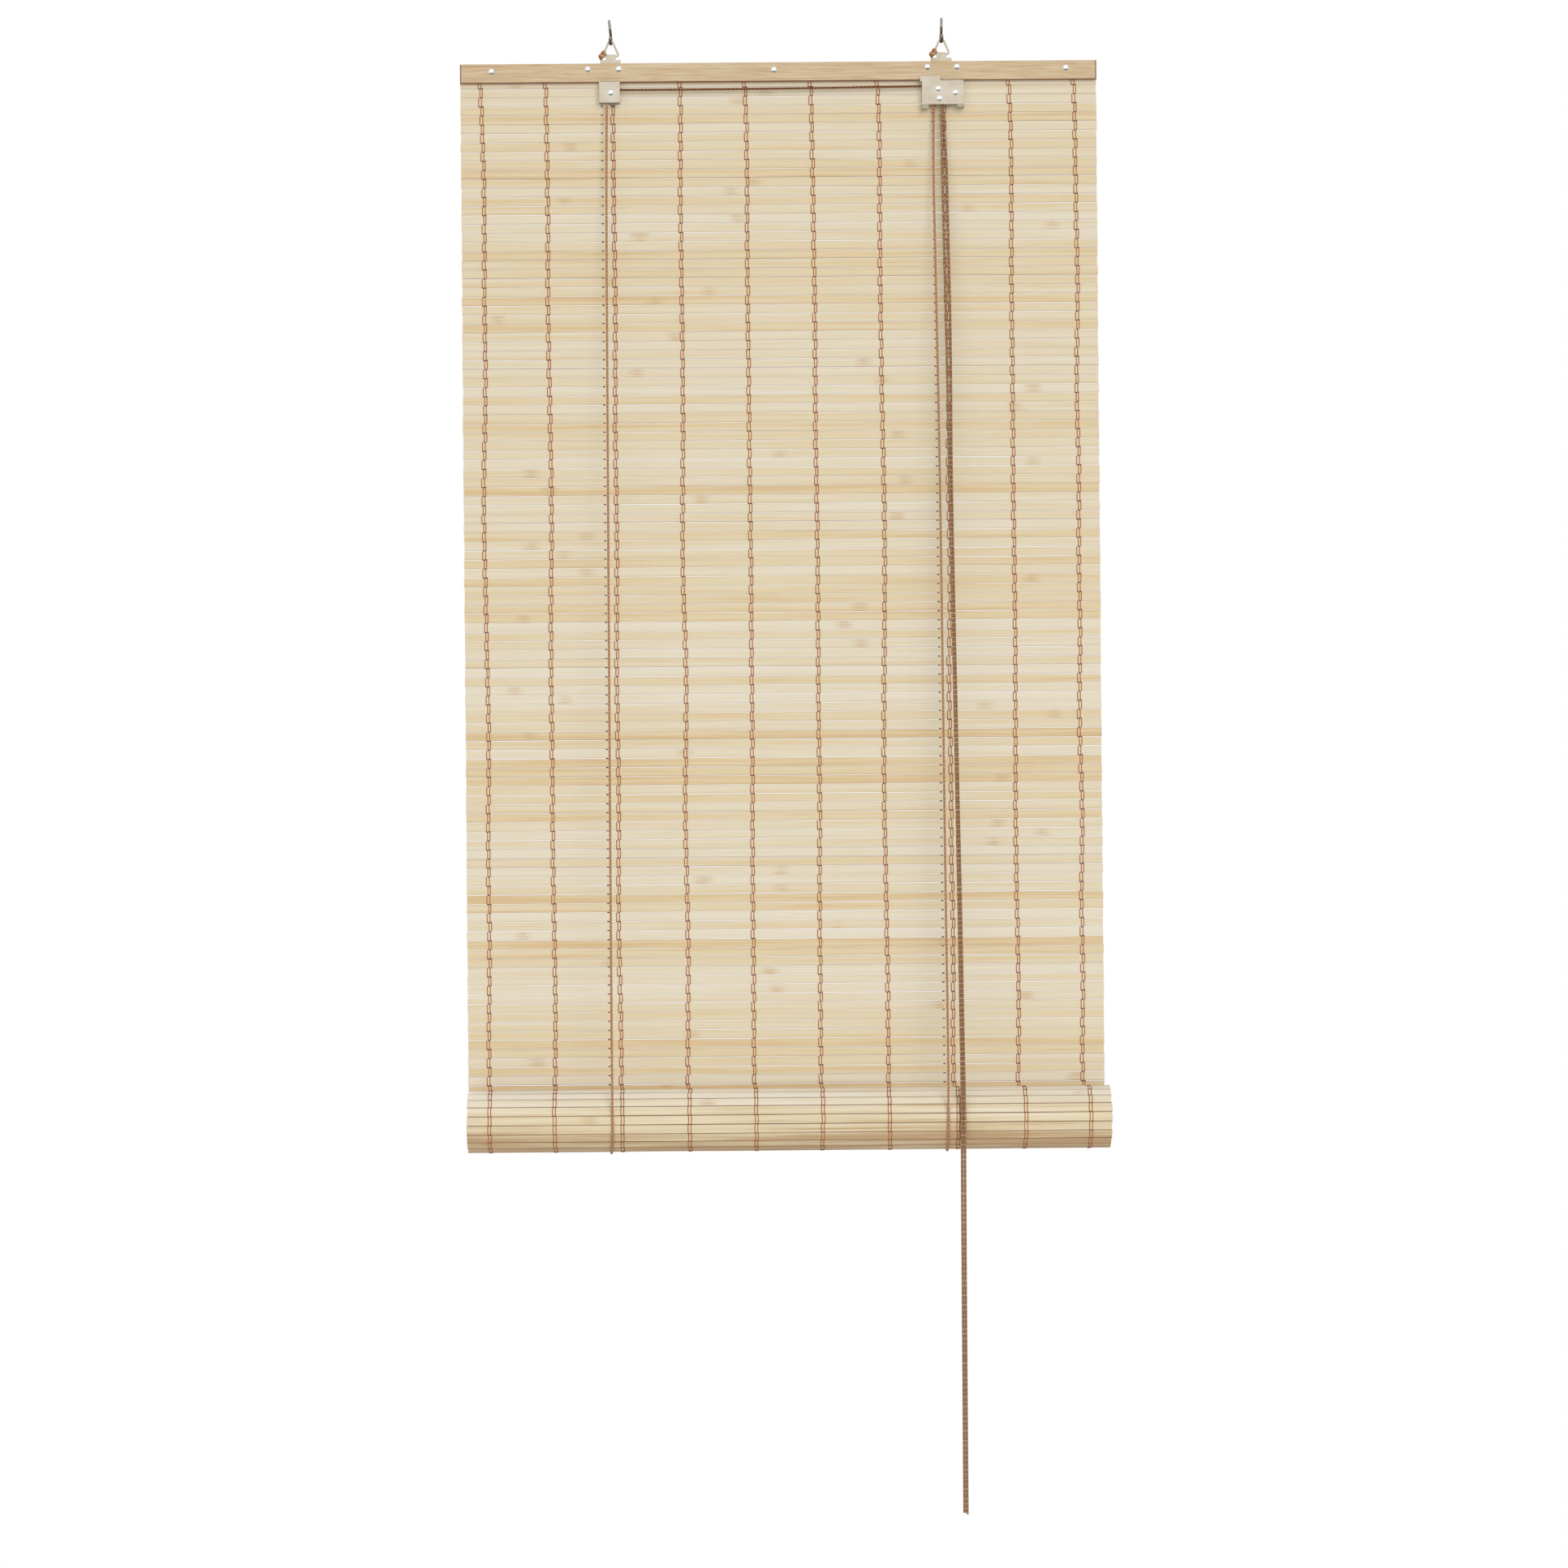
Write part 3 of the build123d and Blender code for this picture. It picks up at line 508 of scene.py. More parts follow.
slatMaterial = bambooMaterial("splitBamboo", bambooLook, slatSurface)
rollMaterial = bambooMaterial("splitBambooRollLitAndShaded", rollLitAndShadedLook, slatSurface)
thread = threadMaterial(threadLook)
liftBraid = cordMaterial("liftCordBraid", braids["lift"])
shadedBraid = cordMaterial("shadedCordBraid", braids["shaded"])
pullBraid = cordMaterial("pullCordBraid", braids["pull"])
zincWire = hookMaterial(zincLook)
coats = {name: enamelMaterial(name, *values) for name, values in enamels.items()}
coats |= {name: metalMaterial(name, *values) for name, values in metals.items()}
coats["planedBamboo"] = railMaterial(railLook)
print("materials ready")

# Surfaces from arrays: a batch holds shells of equal size, each a row of rings, closed round and capped


def circle(across, up, sides, width=1.0, height=1.0):
    # corners of a ring: across times cosine times width, plus up times sine times height
    turn = np.arange(sides) * 2 * np.pi / sides
    return across * np.cos(turn)[:, None] * width + up * np.sin(turn)[:, None] * height


def unit(ways):
    return ways / np.linalg.norm(ways, axis=1)[:, None]


def joined(x, y, z):  # places from coordinates of matching shapes
    return np.stack(np.broadcast_arrays(x, y, z), axis=-1)


def ringMesh(name, batches, material, body, replaced=(), smoothAngle=40):
    vertices, loops, totals, mapU, mapV, extras = [], [], [], [], [], {}
    base = 0
    for batch in batches:
        points = batch["points"]
        count, rings, sides, _ = points.shape
        index = base + np.arange(count * rings * sides).reshape(count, rings, sides)
        beside = np.roll(index, -1, axis=2)
        quads = np.stack([index[:, :-1], beside[:, :-1], beside[:, 1:], index[:, 1:]], axis=-1)
        far = np.broadcast_to(batch["along"].reshape(count, rings, 1), (count, rings, sides))
        step = np.broadcast_to(np.arange(sides) / sides, (count, rings - 1, sides))
        quadU = np.stack([far[:, :-1], far[:, :-1], far[:, 1:], far[:, 1:]], axis=-1)
        quadV = np.stack([step, step + 1 / sides, step + 1 / sides, step], axis=-1)
        ends = np.concatenate([index[:, 0, ::-1], index[:, -1]])
        vertices.append(points.reshape(-1, 3))
        loops += [quads.ravel(), ends.ravel()]
        totals += [np.full(quads.size // 4, 4), np.full(len(ends), sides)]
        mapU += [quadU.ravel(), np.zeros(ends.size)]
        mapV += [quadV.ravel(), np.zeros(ends.size)]
        for label, values in batch.get("extras", {}).items():
            extras.setdefault(label, []).append(np.broadcast_to(values, (count, rings, sides)).ravel())
        base += index.size
    vertices, loops, totals = (np.concatenate(rows) for rows in (vertices, loops, totals))
    starts = np.concatenate([[0], np.cumsum(totals)[:-1]])
    mapped = np.stack([np.concatenate(mapU), np.concatenate(mapV)], axis=1)
    mesh = bpy.data.meshes.new(name)
    mesh.vertices.add(len(vertices))
    mesh.vertices.foreach_set("co", vertices.astype(np.float32).ravel())
    mesh.loops.add(len(loops))
    mesh.loops.foreach_set("vertex_index", loops.astype(np.int32))
    mesh.polygons.add(len(totals))
    mesh.polygons.foreach_set("loop_start", starts.astype(np.int32))
    mesh.uv_layers.new(name="along").uv.foreach_set("vector", mapped.astype(np.float32).ravel())
    for label, values in extras.items():
        field = mesh.attributes.new(label, "FLOAT", "POINT")
        field.data.foreach_set("value", np.concatenate(values).astype(np.float32))
    mesh.update(calc_edges=True)
    mesh.validate()
    work = bmesh.new()
    work.from_mesh(mesh)
    bmesh.ops.recalc_face_normals(work, faces=work.faces)
    work.to_mesh(mesh)
    work.free()
    mesh.polygons.foreach_set("use_smooth", np.ones(len(mesh.polygons), bool))
    mesh.set_sharp_from_angle(angle=math.radians(smoothAngle))
    mesh.materials.append(material)
    piece = addObject(name, mesh)
    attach(piece, body)
    if replaced:
        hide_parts(*replaced)
    return piece


def waves(random, shape, x, height, slowest=0.6, fastest=4.0, terms=4):
    # a smooth wander along x: a sum of sines whose lengths, heights and starts are drawn at random
    total = np.zeros(shape + (len(x),))
    for _ in range(terms):
        rate = random.uniform(slowest, fastest, shape)[..., None]
        start = random.uniform(0, 2 * np.pi, shape)[..., None]
        total = total + random.normal(0, 1, shape)[..., None] * np.sin(2 * np.pi * rate * x + start)
    return total * height / math.sqrt(terms / 2)


# Flat mat of slats

mat = {
    "count": 116,
    "countAboveRoll": 15,
    "top": -0.0404,
    "pitch": 0.0114,
    "firstCut": 0.0046,
    # paler tones on the first rows, painted light against the rail's shadow on them
    "firstLitTones": (0.3, 0.3, 0.35),
    "toneShape": (2.6, 2.9),
    # painted shade on the slats' edges: the share of slats that get it in full, and the strength for the rest
    "fullShadeShare": 0.16,
    "darkening": (0.25, 0.5),
    "nodeShare": 0.55,
    "nodeReach": 0.38,
    "noNode": 5,  # a place beyond the slat's end
    "lastLean": 0.00033,
    "left": -0.3975,
    "right": 0.4025,
    "thickness": 0.0017,
    "bevel": 0.00035,
    "crown": 0.00012,
    "shoulder": 0.0014,
    "shoulderShare": 0.8,
    "gap": (0.0005, 0.00078),
    "edgeWander": 0.00006,
    "bow": 0.00004,
    "bowRates": (0.4, 2.0),
    "endSpread": 0.0005,
    "segments": 36,
    "lift": 1.15,
    "seed": 11,
}
random = np.random.default_rng(mat["seed"])
slatShare = np.linspace(0, 1, mat["segments"] + 1)  # from the left end to the right
run = slatShare * (mat["right"] - mat["left"])


def slatProfile(m):
    # depth and height of the eleven corners, with the share of painted edge shade at each
    half, bevel, depth = m["pitch"] / 2, m["bevel"], m["thickness"] / 2
    shoulder, nearCrown = half - m["shoulder"], -depth - m["crown"] * m["shoulderShare"]
    corners = [
        (depth, bevel - half, 0.35),
        (depth, half - bevel, 0.35),
        (depth - bevel, half, 1),
        (bevel - depth, half, 1),
        (-depth, half - bevel, 0.2),
        (nearCrown, shoulder, 0),
        (-depth - m["crown"], 0, 0),
        (nearCrown, -shoulder, 0),
        (-depth, bevel - half, 0.5),
        (bevel - depth, -half, 1),
        (depth - bevel, -half, 1),
    ]
    return np.array(corners)


def slatRuns(m, drift, endSpread, count, random):
    # X along each slat: its left end plus its own length times the share
    leftEnd = m["left"] + drift + random.uniform(-1, 1, count) * endSpread
    rightEnd = m["right"] + drift + random.uniform(-1, 1, count) * endSpread
    return leftEnd[:, None] + (rightEnd - leftEnd)[:, None] * slatShare


def slatLooks(m, tone, darkening, nodeShare, corners, random):
    count, reach = len(tone), m["nodeReach"]
    seed = random.uniform(0, 1, count)
    hasNode = random.uniform(0, 1, count) < nodeShare
    node = np.where(hasNode, random.uniform(-reach, reach, count), m["noNode"])
    looks = {"slatTone": tone, "slatShadeStrength": darkening, "slatSeed": seed, "slatNode": node}
    return {key: values[:, None, None] for key, values in looks.items()} | {"slatEdgeShade": corners[:, 2]}


def makeSlats(m, random):
    # profile along X: height goes from lower to upper line by share, depth is the corner's plus a bow
    count = m["count"]
    joints = m["top"] + m["firstCut"] - np.arange(count + 1) * m["pitch"]
    joints[0] = m["top"]
    gaps = random.uniform(*m["gap"], count + 1)
    upper = (joints[:-1] - gaps[:-1] / 2)[:, None] + waves(random, (count,), run, m["edgeWander"])
    lower = (joints[1:] + gaps[1:] / 2)[:, None] + waves(random, (count,), run, m["edgeWander"])
    bow = waves(random, (count,), run, m["bow"], *m["bowRates"])
    places = slatRuns(m, 0, m["endSpread"], count, random)
    corners = slatProfile(m)
    share = corners[:, 1] / m["pitch"] + 0.5  # 0 at the lower edge and 1 at the upper
    heights = lower[:, :, None] + (upper - lower)[:, :, None] * share
    depths = corners[:, 0] + bow[:, :, None]
    depths[-1] += m["lastLean"] * (1 - share)
    points = joined(places[:, :, None], depths, heights)
    tone = random.beta(*m["toneShape"], count)
    tone[: len(m["firstLitTones"])] = m["firstLitTones"]
    edgeShaded = random.uniform(0, 1, count) < m["fullShadeShare"]
    darkening = np.where(edgeShaded, 1.0, random.uniform(*m["darkening"], count))
    return points, places, slatLooks(m, tone, darkening, m["nodeShare"], corners, random)


def chosenSlats(slats, chosen):
    points, along, extras = slats
    own = {key: (values[chosen] if np.ndim(values) == 3 else values) for key, values in extras.items()}
    return {"points": points[chosen], "along": along[chosen], "extras": own}


def shorten(piece):  # gives the piece its own copy of its mesh
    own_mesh(piece)


def matPiece(name, batches, material, replaced, half):
    piece = ringMesh(name + half, batches, material, "headrail", [replaced])
    if half == "Lower":
        shorten(piece)


slats = makeSlats(mat, random)
above = mat["countAboveRoll"]
halves = {"Upper": slice(0, above), "Lower": slice(above, mat["count"])}
for half, chosen in halves.items():
    matPiece("mat", [chosenSlats(slats, chosen)], slatMaterial, "mat", half)
print("slats done")

# Sewing threads: two strands down each column, knotted at every seam

seams = {  # places are the columns' X in millimetres, the rest is in metres
    "topPlaces": (-373.3, -291.7, -207.0, -124.3, -41.5, 41.2, 125.0, 208.8, 291.6, 373.3),
    "lowPlaces": (-370.0, -288.5, -205.8, -121.1, -37.5, 46.2, 129.9, 212.6, 294.3, 376.1),
    "rollPlaces": (-367.4, -285.5, -202.6, -118.2, -35.8, 46.7, 130.2, 214.3, 298.2, 379.7),
    "settle": 0.06,
    "spacing": (0.003, 0.0036),
    "stagger": 0.0008,
    "wander": 0.0006,
    "sway": 0.00012,
    "clear": 0.00013,
    "sides": 6,
    "halfWidth": 0.0006,
    "halfThickness": 0.00026,
    "knotRadius": 0.0006,
    "knotOverhang": 0.0003,
    "knotLength": 0.003,
    "knotTilt": 0.00025,
}
# steps, dip and shade go along a strand, girth and knotShade along a knot; shades are shares of knot colour
matStitch = {
    "steps": (0.0, 0.09, 0.5, 0.91, 1.0),
    "dip": (0.45, 1.0, 1.08, 1.0, 0.45),
    "shade": (0.75, 0.12, 0.0, 0.12, 0.75),
    "girth": (0.6, 0.95, 0.8, 0.85, 0.8, 1.15, 0.75),
    "knotShade": (0.9, 0.9, 0.7, 0.75, 0.8, 1.0, 1.0),
}
rollStitch = {
    "steps": (0.0, 0.1, 0.9, 1.0),
    "dip": (0.5, 1.05, 1.05, 0.5),
    "shade": (0.75, 0.12, 0.12, 0.75),
    "girth": (0.6, 0.9, 0.85, 1.05, 0.7),
    "knotShade": (0.9, 0.85, 0.75, 0.95, 1.0),
    "staggerShare": (0.2, 0.6),
    "wander": 0.0002,
}


def seamColumns(s, m, random):
    # X of each column: from top place to low place by one minus an exponential of the depth, plus waves
    joint = np.arange(m["count"] + 1)
    share = joint / m["count"]
    top, low = np.array(s["topPlaces"]) / 1000, np.array(s["lowPlaces"]) / 1000
    depth = joint * m["pitch"]
    line = top[:, None] + (low - top)[:, None] * (1 - np.exp(-depth / s["settle"]))
    slow = waves(random, (len(top),), share * 1.3, s["wander"], 0.7, 5.0)
    stagger = np.where(joint % 2, 1, -1) * s["stagger"] * random.uniform(0.6, 1.3, line.shape)
    return line + slow, stagger


def strandBatch(points, stitch, m, random):
    start = random.uniform(0, 1, (len(points), 1))
    along = np.broadcast_to(np.array(stitch["steps"]) * m["pitch"], points.shape[:2]) + start
    return {"points": points, "along": along, "extras": {"knotShare": np.array(stitch["shade"])[:, None]}}


def knotBatch(middle, y, z, reach, stitch, s):
    # knot lying along X: middle plus reach times its half length, with a circle times its girth
    x = middle + reach * (s["spacing"][1] / 2 + s["knotOverhang"])
    centres = joined(x, y, z).reshape(-1, len(reach), 3)
    girth = s["knotRadius"] * np.array(stitch["girth"])[:, None, None]
    return {
        "points": centres[:, :, None, :] + circle(yAxis, zAxis, s["sides"]) * girth,
        "along": np.broadcast_to(reach * s["knotLength"], centres.shape[:2]),
        "extras": {"knotShare": np.array(stitch["knotShade"])[:, None]},
    }


def makeThreads(s, stitch, m, columns, stagger, face, slats, random):
    # flat tubes from seam to seam: X sways by a sine of the step, depth is times dip, plus a flat circle
    rows = np.arange(slats.start, slats.stop)
    depth = face * (m["thickness"] / 2 + s["halfThickness"] + s["clear"])
    steps, dip = np.array(stitch["steps"]), np.array(stitch["dip"])
    ring = circle(xAxis, yAxis * face, s["sides"], s["halfWidth"], s["halfThickness"])
    firstSeam = m["top"] + m["firstCut"]
    wide = np.where(np.arange(m["count"] + 1) % 2, *s["spacing"])
    z = firstSeam - (rows[:, None] + 0.01 + 0.98 * steps) * m["pitch"]
    z = np.minimum(z, m["top"] + 0.0003 * (1 - steps))  # the first strands stop at the mat's top
    strands = []
    for side in (-1, 1):
        middle = (columns[:, rows] + stagger[:, rows]) + side * wide[rows] / 2
        sway = random.normal(0, s["sway"], middle.shape)
        x = middle[:, :, None] + sway[:, :, None] * np.sin(np.pi * steps)
        centres = joined(x, depth * dip, z).reshape(-1, len(steps), 3)
        strands.append(centres[:, :, None, :] + ring)
    strands = strandBatch(np.concatenate(strands), stitch, m, random)

    seam = rows + 1
    reach = np.linspace(-1, 1, len(stitch["girth"]))
    before = (columns[:, seam] + stagger[:, seam - 1])[:, :, None]
    after = (columns[:, seam] + stagger[:, seam])[:, :, None]
    blend = (reach + 1) / 2
    middle = before * (1 - blend) + after * blend
    y = depth * (0.9 - 0.35 * np.abs(reach) ** 4)
    z = firstSeam - seam[:, None] * m["pitch"] + s["knotTilt"] * np.sin(reach * 2.5)
    return [strands, knotBatch(middle, y, z, reach, stitch, s)]


columns, stagger = seamColumns(seams, mat, random)
for title, face in (("Front", -1), ("Back", 1)):
    for half, chosen in halves.items():
        batches = makeThreads(seams, matStitch, mat, columns, stagger, face, chosen, random)
        matPiece("threads" + title, batches, thread, "stitches_" + title.lower(), half)
print("threads done")

# Roll: the slats follow a spiral like the solid's, one joint per slat

roll = {
    "slats": 41,
    "radius": 0.0396,
    "turnPitch": 0.0028,
    "axisDepth": -0.0385,
    "axisLevel": -1.3654,
    "startAngle": -9.9,
    "litToShadedTones": (5, (1.0, 1.0, 1.0, 0.95, 0.9, 0.65, 0.6, 0.5, 0.3, 0.0, 0.0, 0.1)),  # first slat, then tones: darker ones paint shade under the roll, paler ones paint light up its front
    "toneShape": (2.2, 3.0),
    # strength of the painted edge shade on the roll's slats
    "darkening": (0.5, 1.0),
    "nodeShare": 0.6,
    "drift": 0.0029,
    "gap": (0.0002, 0.0005),
    "bow": 0.00008,
    "endSpread": 0.0009,
    "threadedSlats": 26,
}


def spiralJoints(r, pitch):
    # radius shrinks evenly with the angle, and each joint is one pitch of chord from the last
    angle, joints = math.radians(r["startAngle"]), []
    for _ in range(r["slats"] + 1):
        reach = r["radius"] - r["turnPitch"] * angle / (2 * math.pi)
        joints.append((r["axisDepth"] + reach * math.cos(angle), r["axisLevel"] - reach * math.sin(angle)))
        angle += 2 * math.asin(pitch / (2 * reach))
    return np.array(joints)


def makeRoll(r, m, joints, random):
    # profile along X: middle of two joints, plus the way between times height, plus out times depth
    count = r["slats"]
    way = unit(joints[1:] - joints[:-1])
    out = np.stack([-way[:, 1], way[:, 0]], axis=1)
    middle = (joints[1:] + joints[:-1]) / 2
    gaps = random.uniform(*r["gap"], count)
    half = (m["pitch"] - gaps) / 2
    corners = slatProfile(m)
    share = corners[:, 1] / (m["pitch"] / 2)
    wander = waves(random, (count,), run, m["edgeWander"])[:, :, None] * share
    lengthwise = (share * half[:, None, None] + wander)[..., None]
    depth = (-corners[:, 0] + waves(random, (count,), run, r["bow"])[:, :, None])[..., None]
    way, out = way[:, None, None, :], out[:, None, None, :]
    yz = middle[:, None, None, :] + way * lengthwise + out * depth
    places = slatRuns(m, r["drift"], r["endSpread"], count, random)
    tone = random.beta(*r["toneShape"], count)
    first, front = r["litToShadedTones"]
    tone[first : first + len(front)] = front
    looks = slatLooks(m, tone, random.uniform(*r["darkening"], count), r["nodeShare"], corners, random)
    points = joined(places[:, :, None], yz[..., 0], yz[..., 1])
    return {"points": points, "along": places, "extras": looks}, way[:, 0], out[:, 0]


def makeRollThreads(s, stitch, m, r, joints, way, out, random):
    # flat tubes on the spiral: joint plus way times the step, plus out times the dip, plus a flat circle
    rows = r["threadedSlats"]
    places = np.array(s["rollPlaces"]) / 1000
    size = (len(places), rows)
    alternate = np.where(np.arange(rows) % 2, 1, -1)
    stagger = alternate * s["stagger"] * random.uniform(*stitch["staggerShare"], size)
    line = places[:, None] + stagger + np.cumsum(random.normal(0, stitch["wander"], size), axis=1)
    steps = np.array(stitch["steps"])
    lift = (m["thickness"] / 2 + s["halfThickness"]) * np.array(stitch["dip"])
    spots = joints[:rows, None, :] + way[:rows] * (steps * m["pitch"])[:, None] + out[:rows] * lift[:, None]
    outward = np.concatenate([np.zeros((rows, 1)), out[:rows, 0]], axis=1)[:, None, None, :]
    ring = circle(xAxis, outward, s["sides"], s["halfWidth"], s["halfThickness"])
    batches = []
    for side in (-1, 1):
        x = (line + side * s["spacing"][1] / 2)[:, :, None]
        centres = joined(x, spots[..., 0], spots[..., 1])
        points = (centres[:, :, :, None, :] + ring).reshape(-1, len(steps), s["sides"], 3)
        batches.append(strandBatch(points, stitch, m, random))
    reach = np.linspace(-1, 1, len(stitch["girth"]))
    seam = joints[1:rows] + out[1:rows, 0] * (m["thickness"] / 2)
    return batches + [knotBatch(line[:, 1:, None], seam[:, :1], seam[:, 1:], reach, stitch, s)]


spiral = spiralJoints(roll, mat["pitch"])
rollSlats, rollWay, rollOut = makeRoll(roll, mat, spiral, random)
ringMesh("rollSlats", [rollSlats], rollMaterial, "roll", ["slat_roll"])
rollThreads = makeRollThreads(seams, rollStitch, mat, roll, spiral, rollWay, rollOut, random)
ringMesh("threadsRoll", rollThreads, thread, "roll")
print("roll done")

# Cords

cordShape = {"sides": 10, "bulge": 0.03, "bulgePitch": 0.004, "spacing": 0.0012, "smoothAngle": 80}


def routeSpline(name, points):
    curve = bpy.data.curves.new(name, "CURVE")
    curve.dimensions = "3D"
    curve.resolution_u = 24
    spline = curve.splines.new("NURBS")
    spline.points.add(len(points) - 1)
    for place, point in zip(points, spline.points):
        point.co = (*place, 1)
    spline.order_u = 3
    spline.use_endpoint_u = True
    holder = bpy.data.objects.new(name, curve)
    line = bpy.data.meshes.new_from_object(holder)
    path = np.zeros(len(line.vertices) * 3)
    line.vertices.foreach_get("co", path)
    bpy.data.objects.remove(holder)
    bpy.data.curves.remove(curve)
    bpy.data.meshes.remove(line)
    return path.reshape(-1, 3)


def evenly(path, spacing):
    far = np.concatenate([[0], np.cumsum(np.linalg.norm(np.diff(path, axis=0), axis=1))])
    marks = np.linspace(0, far[-1], max(4, int(far[-1] / spacing) + 1))
    return np.stack([np.interp(marks, far, path[:, i]) for i in range(3)], axis=1), marks


def cordTube(path, marks, radius, sides, beside=xAxis, bulge=0.0):
    # round tube: path plus a circle square to its direction, swelling a little once in each bulgePitch
    ahead = unit(np.gradient(path, axis=0))
    side = unit(beside - (ahead @ beside)[:, None] * ahead)
    up = np.cross(ahead, side)
    swell = radius * (1 + bulge * np.sin(2 * np.pi * marks / cordShape["bulgePitch"]))[:, None, None]
    ring = circle(side[:, None, :], up[:, None, :], sides)
    return {"points": (path[:, None, :] + ring * swell)[None], "along": marks[None]}


def arcPath(centre, radius, start, sweep, plane=(1, 2), steps=28):
    # circle in one of the row planes: centre plus radius times cosine and sine along its two axes
    angle = np.radians(np.linspace(start, start + sweep, steps))
    spot = np.tile(np.array(centre, float), (steps, 1))
    spot[:, plane[0]] += radius * np.cos(angle)
    spot[:, plane[1]] += radius * np.sin(angle)
    return spot


def makeCord(name, path, radius, body, node, material, beside=xAxis, spacing=cordShape["spacing"]):
    path, marks = evenly(path, spacing)
    tube = cordTube(path, marks, radius, cordShape["sides"], beside, cordShape["bulge"])
    piece = ringMesh(name, [tube], material, body, [node], cordShape["smoothAngle"])
    return piece, path, marks[-1]


pullCords = {
    "radius": 0.00165,
    "lockMouth": -0.097,
    "rollLevel": -1.32,
    "upperA": [
        (0.20815, -0.0085, -0.097), (0.20675, -0.01045, -0.145), (0.2083, -0.0166, -0.24),
        (0.2104, -0.0256, -0.39), (0.212, -0.036, -0.57), (0.21445, -0.0464, -0.75),
        (0.21625, -0.057, -0.93), (0.2177, -0.0672, -1.11), (0.2184, -0.0752, -1.24),
        (0.219, -0.0799, -1.32),
    ],
    "upperB": [
        (0.20815, -0.0049, -0.097), (0.21245, -0.0073, -0.142), (0.21385, -0.0137, -0.24),
        (0.2158, -0.023, -0.39), (0.21465, -0.0334, -0.57), (0.21655, -0.0439, -0.75),
        (0.2184, -0.0545, -0.93), (0.22065, -0.066, -1.11), (0.22145, -0.0747, -1.24),
        (0.22235, -0.0799, -1.32),
    ],
    "tailA": [
        (0.219, -0.0799, -1.3201), (0.21885, -0.0816, -1.372), (0.21845, -0.0814, -1.46),
        (0.21825, -0.08165, -1.6), (0.21815, -0.08135, -1.74), (0.218, -0.0815, -1.852),
    ],
    "tailB": [
        (0.22235, -0.0799, -1.3201), (0.2224, -0.0816, -1.372), (0.222, -0.08165, -1.46),
        (0.22165, -0.0814, -1.6), (0.22155, -0.0817, -1.74), (0.22145, -0.0815, -1.854),
    ],
}
for key, node, body, end in (
    ("upperA", "pull_upper_a", "headrail", "object"),
    ("upperB", "pull_upper_b", "headrail", "object"),
    ("tailA", "pull_tail_a", "slings", "bare"),
    ("tailB", "pull_tail_b", "slings", "bare"),
):
    name = "pullCord" + key[0].upper() + key[1:]
    route = routeSpline(key, pullCords[key])
    piece, path, length = makeCord(name, route, pullCords["radius"], body, node, pullBraid)
    if key.startswith("upper"):
        shorten(piece)

liftCords = {
    "radius": 0.0014,
    "hangers": {"left": -0.20815, "right": 0.20815},
    "rearTop": {"left": -0.22, "right": 0.19635},
    "rearLow": {"left": -0.22, "right": 0.2016},
    "frontTop": {"left": (-0.21295, -0.0085), "right": (0.19855, -0.0049)},
    "frontLow": {"left": -0.214, "right": 0.2023},
    "frontDrift": {  # level, and how far the cord lies to the right of its straight line there
        "left": [(-0.15, -0.0016), (-0.5, -0.0013), (-0.9, -0.0009), (-1.25, -0.0005)],
        "right": [
            (-0.15, -0.0029), (-0.3, -0.0017), (-0.5, -0.0001),
            (-0.8, 0.0001), (-1.1, -0.0002), (-1.28, 0.0008),
        ],
    },
    "slackCurve": 1.4,
    "tieLevel": -0.0376,
    "tieDepth": (0.003, 0.0082),
    "tieBend": 0.0032,
    "tieStart": -0.0332,
    "tieKnotBend": 0.0019,
    "tieEnd": -0.07,
    "runStart": -0.079,
    "bightReach": 0.0413,
    "bightLevel": roll["axisLevel"],
    "rollAxis": (-0.0385, -1.3628),  # the solid's, where runs and bights meet
}


def tieAndRear(c, side):  # from the knot over the rail, and down behind the mat
    axisY, axisZ = c["rollAxis"]
    top, low = c["rearTop"][side], c["rearLow"][side]
    inner, outer = c["tieDepth"]
    bend, knotBend, level = c["tieBend"], c["tieKnotBend"], c["tieLevel"]
    tie = [
        [(top, inner, c["tieStart"])],
        arcPath((top, inner + knotBend, level + knotBend), knotBend, 180, 90),
        arcPath((top, outer - bend, level - bend), bend, 90, -90),
        [(top, outer, c["tieEnd"])],
    ]
    rear = [(top, outer, c["tieEnd"]), (low, axisY + c["bightReach"], axisZ)]
    return np.concatenate(tie), np.array(rear)


def frontAndBight(c, side):  # down in front of the mat, and round under the roll in half a circle
    axisY, axisZ = c["rollAxis"]
    backY, frontY = axisY + c["bightReach"], axisY - c["bightReach"]
    (startX, startY), startZ = c["frontTop"][side], c["runStart"]
    lowX, rearX = c["frontLow"][side], c["rearLow"][side]
    points = [(startX, startY, startZ)]
    for z, shift in c["frontDrift"][side]:
        share = (startZ - z) / (startZ - axisZ)
        forward = 1 - (1 - share) ** c["slackCurve"]
        points.append((startX + (lowX - startX) * share + shift, startY + (frontY - startY) * forward, z))
    front = routeSpline("front", points + [(lowX, frontY, axisZ)])
    turn = np.linspace(0, np.pi, 60)
    bight = joined(
        rearX + (lowX - rearX) * (1 - np.cos(turn)) / 2,
        axisY + c["bightReach"] * np.cos(turn),
        c["bightLevel"] - c["bightReach"] * np.sin(turn),
    )
    return front, np.concatenate([[(rearX, backY, axisZ)], bight, [(lowX, frontY, axisZ)]])


